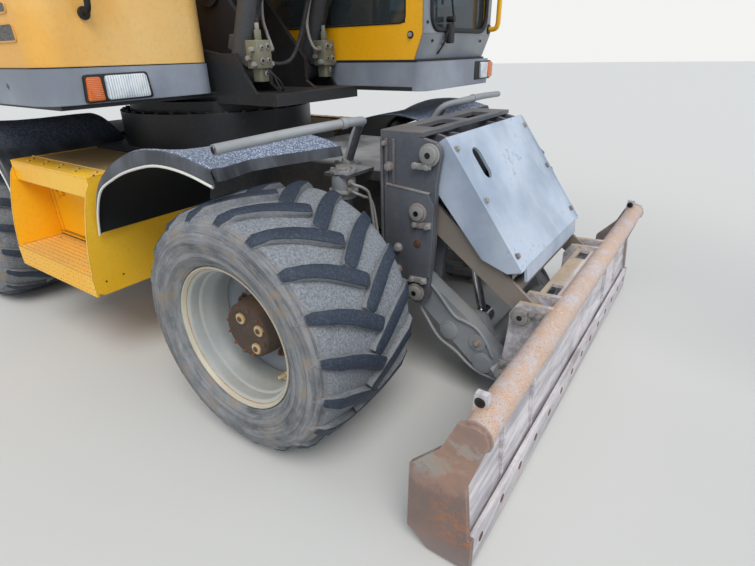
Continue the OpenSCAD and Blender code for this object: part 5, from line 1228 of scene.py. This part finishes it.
# Seat
# Sprung driver's seat: foam cushions under woven cloth with sewn channels and piping, on a steel
# pedestal inside a rubber bellows.
seat_weave = Finish("seat_weave")
weave_a, weave_b, weave_c = (seat_weave.ribs(axis, 150) for axis in "XYZ")
threads = weave_a * weave_b + weave_b * weave_c + weave_a * weave_c
cloth = seat_weave.mix(threads * 0.3 + seat_weave.noise(300, 2) * 0.4, "23262b", "454b54")
cloth = seat_weave.layers(cloth, (seat_weave.noise(9, 6), 0.55, 0.75, 0.35, "6b655c"))
seat_weave.done(cloth, 0.85, bump=threads, depth=0.0012)


def cushion(name, middle, half, lean):
    """Makes a crowned cushion with two sewn channels, pulled in at its corners."""
    form = bmesh.new()
    bmesh.ops.create_cube(form, size=2)
    bmesh.ops.subdivide_edges(form, edges=form.edges[:], cuts=11, use_grid_fill=True)
    for vert in form.verts:
        u, v, w = vert.co
        edge_in = 1 - 0.05 * u * u * v * v - 0.03 * w * w
        bulge = 0.72 + 0.28 * (1 - u ** 4) * (1 - v ** 4)
        channel = math.exp(-((abs(v) - 0.55) / 0.07) ** 2) * (w > 0.5) * 0.12
        row = math.exp(-((u - 0.15) / 0.06) ** 2) * (w > 0.5) * (abs(v) < 0.55) * 0.08
        rise = w * (bulge - channel - row)
        vert.co = (u * edge_in * half[0], v * edge_in * half[1], rise * half[2])
    for _ in range(2):
        bmesh.ops.smooth_vert(form, verts=form.verts[:], factor=0.35, use_axis_x=True,
                              use_axis_y=True, use_axis_z=True)
    leaning = Matrix.Rotation(math.radians(lean), 4, "Y")
    place = Matrix.Translation(ground + Vector(middle)) @ leaning
    bmesh.ops.transform(form, matrix=place, verts=form.verts[:])
    piece = finish_piece(name, form, "upper", seat_weave.material, slot="fabric", sharp=180)
    soft = piece.modifiers.new("soft", "SUBSURF")
    soft.levels = soft.render_levels = 1
    return place


base_place = cushion("seat_cushion", (-1.14, 0.8, 1.882), (0.248, 0.238, 0.056), 0)
back_place = cushion("seat_back", (-1.44, 0.8, 2.262), (0.325, 0.218, 0.05), 80)
form = bmesh.new()
for low, high, grow in ((1.52, 1.585, 0.0), (1.8, 1.832, 0.02)):
    soft_box(form, (-1.36 - grow, 0.6 - grow, low), (-0.94 + grow, 1.0 + grow, high), 0.012, 1)
for fold in range(6):
    z, inset = 1.585 + fold * 0.036, 0.012 * (fold % 2)
    soft_box(form, (-1.34 + inset, 0.62 + inset, z), (-0.96 - inset, 0.98 - inset, z + 0.038),
             0.014)
soft_box(form, (-1.45, 0.7, 1.84), (-1.385, 0.9, 2.1), 0.012, 1)
bmesh.ops.translate(form, verts=form.verts[:], vec=ground)
for place, (long, wide) in ((base_place, (0.24, 0.23)), (back_place, (0.315, 0.21))):
    outline = round_box((-long, -wide), (long, wide), 0.04, 5)
    welt = [place @ Vector((x, y, 0.022)) for x, y in outline]
    pipe(form, welt + welt[:1], 0.0045, 8, 0)
seat_frame = finish_piece("seat_pedestal", form, "upper", rubber_black, exhaust_steel,
                          slot="dark_plastic")
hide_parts("seat")

# Upper structure
# Revolving frame of dark plate under a cast counterweight. The covers beside the boom stand on a
# worn grey bumper band that holds the lamps.
upper_dark = worn_paint("upper_dark", "1d1e20", "2c2e31", dust="5c564e", dusty=0.45, chips=0.4,
                        rusty=0.2)
weight_grey = worn_paint("weight_grey", "4a4b4e", "5c5e62", dust="8a8275", dusty=0.3, chips=0.3)
band_grey = worn_paint("band_grey", "7c838f", "a0a8b5", dust="8d8576", bare="4d4f53", dusty=0.35,
                       chips=0.55, rusty=0.15, rough=0.35, streaky=0.5)
dress(upper_dark, "upper_frame", "controls", "engine_block")
dress(weight_grey, "counterweight")
dress(band_grey, "lower_trim")
glass = Finish("glass", Roughness=0.05, Transmission_Weight=0.85, IOR=1.45)
glass.done(shade("7d8b90"), 0.06 + glass.noise(4, 6).spread(0.5, 0.8) * 0.12)
dress(glass.material, "cab_glass", "cab_door_glass")
amber = Finish("amber_lens", Roughness=0.25, Coat_Weight=0.6)
amber_ribs = amber.ribs("Z", 42)
amber.done(amber.mix(amber_ribs * 0.5 + amber.noise(60, 4) * 0.4, "c8480c", "f08a35"), 0.22,
           bump=amber_ribs, depth=0.002)
clear = Finish("clear_lens", Roughness=0.12, Coat_Weight=0.8)
clear_ribs = clear.ribs("Y", 26)
clear_clouds = clear.noise(14, 6, warp=0.8)
clear_tone = (clear_ribs * 0.35 + clear_clouds * 0.9).spread(0.35, 0.85)
clear_bump = clear_ribs * 0.7 + clear.noise(90, 3) * 0.5
clear.done(clear.mix(clear_tone, "a9b5bf", "eef2f4"), 0.12 + clear_clouds * 0.2, bump=clear_bump,
           depth=0.002)


def front_panel(form, outline, near, far, coat, soft):
    """Adds a plate with a front outline of (y, z) points, between two distances forward."""
    before = set(form.faces)
    face = form.faces.new([form.verts.new((near, y, z)) for y, z in outline])
    raise_faces(form, [face], (far - near, 0, 0))
    fresh = [f for f in form.faces if f not in before]
    bmesh.ops.recalc_face_normals(form, faces=fresh)
    soften(form, {edge for f in fresh for edge in f.edges
                  if all(abs(vert.co.x - far) < 0.0001 for vert in edge.verts)}, soft)
    for f in set(form.faces) - before:
        f.material_index = coat


# Lamps: amber and ribbed clear lenses in a black frame, on the bumper and at the cab's corner
lamp_face = -0.967
form = bmesh.new()
bezel = round_corners([(-1.092, 1.336), (-1.079, 1.452), (-0.779, 1.456), (-0.767, 1.34)], 0.016)
front_panel(form, bezel, lamp_face - 0.004, lamp_face + 0.016, 0, 0.004)
front_panel(form, round_corners([(-1.085, 1.343), (-1.074, 1.442), (-1.013, 1.443), (-1.01, 1.344)],
                                0.012), lamp_face + 0.01, lamp_face + 0.028, 1, 0.006)
front_panel(form, round_corners([(-0.995, 1.344), (-0.993, 1.446), (-0.79, 1.449), (-0.782, 1.347)],
                                0.016), lamp_face + 0.01, lamp_face + 0.023, 2, 0.006)
hex_bolt(form, (lamp_face + 0.016, -0.774, 1.4), (1, 0, 0), 0.008, 3)
corner_face = -0.08
soft_box(form, (corner_face - 0.06, 1.0, 1.337), (corner_face + 0.004, 1.262, 1.452), 0.008, 0)
soft_box(form, (corner_face - 0.03, 1.075, 1.345), (corner_face + 0.017, 1.185, 1.444), 0.01, 2)
soft_box(form, (corner_face - 0.05, 1.19, 1.345), (corner_face + 0.016, 1.27, 1.444), 0.012, 1)
# Working lamps on the cab's roof
for y in (0.465, 0.99):
    low = Vector((-0.46, y, 3.131))
    soft_box(form, low, low + Vector((0.06, 0.14, 0.1)), 0.014, 0)
    front_panel(form, round_corners([(y + 0.008, 3.142), (y + 0.008, 3.222), (y + 0.132, 3.222),
                                     (y + 0.132, 3.142)], 0.02), -0.404, -0.396, 2, 0.003)
lamp_piece = place_once(form, "lamp_units", "upper", rubber_black, amber.material, clear.material,
                        pin_steel, slot="lamp")
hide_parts("lamps")

# Openings with mesh in the right cover, its grab handle, and the seam over the band
form = bmesh.new()
side = -1.235
for low, high in (((-1.62, 1.69), (-1.115, 1.728)), ((-1.62, 1.585), (-1.1, 1.65)),
                  ((-1.62, 1.79), (-1.13, 1.83)), ((-1.62, 1.88), (-1.14, 1.92))):
    slot_line = round_box(low, high, 0.016)
    extrude_plate(form, slot_line, side + 0.004, side - 0.0025, 1, 0)
    lay_bead(form, slot_line, side - 0.002, 0.004, 8, 0)
extrude_plate(form, [(-1.9, 1.4835), (-1.09, 1.4835), (-1.09, 1.4775), (-1.9, 1.4775)], side + 0.03,
              side - 0.001, 2, 0)
handle = smooth_line([(-0.985, 1.69), (-0.94, 1.7), (-0.925, 1.75), (-0.925, 1.9),
                      (-0.94, 1.96), (-0.985, 1.97)], 6, -1.0)
pipe(form, handle, 0.013, 16, 2)
for z in (1.69, 1.97):
    round_bar(form, (-0.982, -1.0, z), (-0.966, -1.0, z), 0.026, 28, 2, 0.005)
# Hole rusted through the band, drawn as a black disc of painted shade
round_bar(form, (-1.3, -1.2465, 1.41), (-1.3, -1.249, 1.41), 0.013, 4, 1)
place_once(form, "cover_fittings", "upper", cover_yellow, mesh_black.material, rubber_black,
           slot="faded_paint")

# Cab front: grey panel round the windscreen, rubber seal, wiper and bolts
cab_grey = worn_paint("cab_grey", "7b8088", "979ca3", dust="8d8778", bare="55585c", dusty=0.3,
                      chips=0.4, rusty=0.1, rough=0.35, streaky=0.5)
form = bmesh.new()
screen = round_corners([(0.43, 2.6), (0.43, 1.625), (1.165, 1.625), (1.165, 2.6)], 0.1, 8)
inner = [point for point in screen if point[1] < 2.24]
front_panel(form, [(0.348, 2.24), (0.348, 1.604), (1.247, 1.604), (1.247, 2.24), (1.165, 2.24)]
            + list(reversed(inner)) + [(0.43, 2.24)], -0.1005, -0.0945, 0, 0.002)
extrude_plate(form, [(-0.0945, 1.604), (-0.1435, 1.476), (-0.149, 1.476), (-0.1, 1.604)], 0.348,
              1.247, 0, 0.001)
seal = [(-0.094, y, z) for y, z in [(0.43, 2.24)] + inner + [(1.165, 2.24)]]
pipe(form, [(-0.235, 0.43, 2.86)] + seal + [(-0.235, 1.165, 2.86)], 0.0135, 10, 1)
for y in (0.43, 1.165):
    outline = [(-0.0965, 2.24), (-0.252, 2.9), (-0.26, 2.9), (-0.106, 2.24)]
    extrude_plate(form, outline, 0.348 if y < 1 else 1.165, 0.43 if y < 1 else 1.247, 0, 0.001)
# Seam of black rubber between the cab and its skirt
soft_box(form, (-1.86, 0.343, 1.462), (-0.13, 1.2515, 1.475), 0.002, 1)
# Wiper: motor cover, arm and blade
soft_box(form, (-0.093, 0.6, 1.555), (-0.06, 0.66, 1.66), 0.01, 1)
round_bar(form, (-0.1, 0.63, 1.68), (-0.05, 0.63, 1.68), 0.016, 20, 1, 0.003)
pipe(form, smooth_line([(-0.056, 0.63, 1.68), (-0.07, 0.6, 1.85), (-0.079, 0.56, 2.05)], 6), 0.006,
     10, 1)
pipe(form, [(-0.088, 0.545, 1.75), (-0.088, 0.55, 2.2)], 0.007, 8, 1)
pipe(form, smooth_line([(-0.062, 0.63, 1.66), (-0.075, 0.6, 1.62), (-0.09, 0.585, 1.56),
                        (-0.13, 0.58, 1.5)], 6), 0.005, 8, 1)
for y, z in ((0.47, 1.57), (0.6, 1.55), (1.12, 1.57), (0.39, 1.66), (0.39, 1.95), (1.205, 1.66),
             (1.205, 1.95)):
    hex_bolt(form, (-0.0945 if z > 1.604 else -0.107, y, z), (1, 0, 0), 0.012, 1)
# Plug with a bolt, low on the cab's right side
hex_bolt(form, (-0.174, 0.345, 1.6), (0, -1, 0), 0.022, 2)
round_bar(form, (-0.174, 0.347, 1.6), (-0.174, 0.3415, 1.6), 0.02, 24, 1, 0.001)
place_once(form, "cab_front", "upper", cab_grey, rubber_black, pin_steel, slot="grey_paint")

# Rails of bent pipe on the cab's corner and the right cover
form = bmesh.new()
for y, coat, points in (
        (1.22, 0, [(-0.099, 1.64), (-0.05, 1.642), (-0.032, 1.67), (-0.03, 1.75), (-0.03, 2.1),
                   (-0.034, 2.17), (-0.05, 2.198), (-0.099, 2.2)]),
        (-1.175, 1, [(-1.04, 2.08), (-1.04, 2.28), (-1.06, 2.33), (-1.11, 2.34), (-1.69, 2.34),
                     (-1.75, 2.33), (-1.77, 2.28), (-1.77, 2.08)])):
    pipe(form, smooth_line(points, 6, y), 0.0155, 16, coat)
for spot in ((-0.1, 1.22, 1.64), (-0.1, 1.22, 2.2)):
    round_bar(form, spot, Vector(spot) + Vector((0.012, 0, 0)), 0.03, 24, 1, 0.003)
rail_piece = place_once(form, "grab_rails", "upper", cab_yellow, rubber_black, slot="yellow_paint")
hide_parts("handrails")

# Valve blocks on the feet of the lift cylinders, with their screws, fittings and pipes
valve_olive = worn_paint("valve_olive", "6f705f", "888773", dust="8f8a78", bare="9c9c94",
                         dusty=0.45, chips=0.8, rusty=0.3, rough=0.45)
form = bmesh.new()
soft_box(form, (-0.775, 0.212, 1.45), (-0.69, 0.312, 1.585), 0.005, 0, 2)
soft_box(form, (-0.762, 0.232, 1.385), (-0.705, 0.292, 1.452), 0.005, 0, 2)
soft_box(form, (-0.81, 0.225, 1.46), (-0.77, 0.3, 1.57), 0.004, 1, 2)
round_bar(form, (-0.728, 0.262, 1.583), (-0.728, 0.262, 1.633), 0.019, 6, 0, 0.003)
round_bar(form, (-0.728, 0.262, 1.63), (-0.728, 0.262, 1.665), 0.012, 20, 1, 0.002)
for y, z, wide in ((0.24, 1.555, 0.017), (0.282, 1.55, 0.012), (0.24, 1.49, 0.013),
                   (0.285, 1.487, 0.017), (0.262, 1.425, 0.014)):
    round_bar(form, (-0.692, y, z), (-0.683, y, z), wide, 6, 1, 0.002)
    round_bar(form, (-0.684, y, z), (-0.681, y, z), wide * 0.5, 16, 2)
for z, x in ((1.54, -0.72), (1.5, -0.75), (1.47, -0.71)):
    round_bar(form, (x, 0.31, z), (x, 0.335, z), 0.0135, 6, 1, 0.002)
    round_bar(form, (x, 0.215, z), (x, 0.19, z), 0.015, 6, 1, 0.002)
bent = smooth_line([(-0.72, 0.2, 1.54), (-0.72, 0.175, 1.54), (-0.735, 0.165, 1.56),
                    (-0.76, 0.165, 1.62), (-0.77, 0.175, 1.7), (-0.73, 0.19, 1.85),
                    (-0.66, 0.19, 2.0)], 6)
pipe(form, bent, 0.009, 12, 1)
place_both(form, "valve_blocks", "lift_barrels", valve_olive, pin_steel, grease)

# Slewing ring: bolts round its outer flange, black with grease
form = bmesh.new()
ring_low, ring_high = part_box("slew_ring")
ring_x, ring_r, bolt_count = (ring_low.x + ring_high.x) / 2, 0.575, 36
for bolt in range(bolt_count):
    angle = math.tau * (bolt + 0.5) / bolt_count
    spot = (ring_x + ring_r * math.cos(angle), ring_r * math.sin(angle), ring_high.z - 0.001)
    hex_bolt(form, spot, (0, 0, 1), 0.024, 0, proud=0.5)
finish_piece("ring_bolts", form, "chassis", grease, slot="dark_paint")

# Boom, stick and bucket
# Welded box arms in dark grey, with steel pipes clamped along their sides. The bucket and its two
# levers are cast and welded steel, worn to brown.
boom_grey = worn_paint("boom_grey", "46484b", "5a5c5f", dust="857c70", dusty=0.4, chips=0.4,
                       rusty=0.2)
bucket_steel = worn_paint("bucket_steel", "5d5550", "736860", dust="8d7c66", bare="8a8683",
                          rust="7a4423", dusty=0.5, chips=0.8, rusty=0.8, rough=0.5)
dress(boom_grey, "base_boom", "upper_boom", "stick")
dress(bucket_steel, "bucket", "rocker", "link")


def arm_point(foot, degrees, along, up):
    """Point along an arm from its foot pin, and up from its middle line."""
    angle = math.radians(degrees)
    return Vector((foot[0] + along * math.cos(angle) - up * math.sin(angle), 0,
                   foot[1] + along * math.sin(angle) + up * math.cos(angle)))


# Two pipes a side, with a union at each end, in four clamps
for name, foot, degrees, side, first, last in (("base_boom", (-1.19, 1.86), 58, 0.13, 0.42, 1.9),
                                               ("upper_boom", (0.0553, 3.853), 0, 0.12, 0.42, 2.3)):
    form = bmesh.new()
    pipe_y = Vector((0, side + 0.0165, 0))
    for up in (0.02, 0.055):
        line = [arm_point(foot, degrees, first - 0.02, up)]
        line += [arm_point(foot, degrees, first + (last - first) * step / 6, up)
                 for step in range(7)]
        pipe(form, [point + pipe_y for point in line], 0.0105, 12, 1)
        for spot in (first, last - 0.03):
            round_bar(form, arm_point(foot, degrees, spot, up) + pipe_y,
                      arm_point(foot, degrees, spot + 0.035, up) + pipe_y, 0.0165, 6, 1, 0.002)
    for clamp in range(4):
        along = first + 0.12 + (last - first - 0.24) * clamp / 3
        corners = [arm_point(foot, degrees, along + a, up) for a, up in
                   ((-0.02, -0.002), (0.02, -0.002), (0.02, 0.077), (-0.02, 0.077))]
        extrude_plate(form, [(corner.x, corner.z) for corner in corners], side - 0.002,
                      side + 0.029, 0, 0.003)
        hex_bolt(form, arm_point(foot, degrees, along, 0.0375) + Vector((0, side + 0.028, 0)),
                 (0, 1, 0), 0.014, 1)
    place_both(form, name + "_pipes", name, boom_grey, pin_steel, slot="dark_paint")
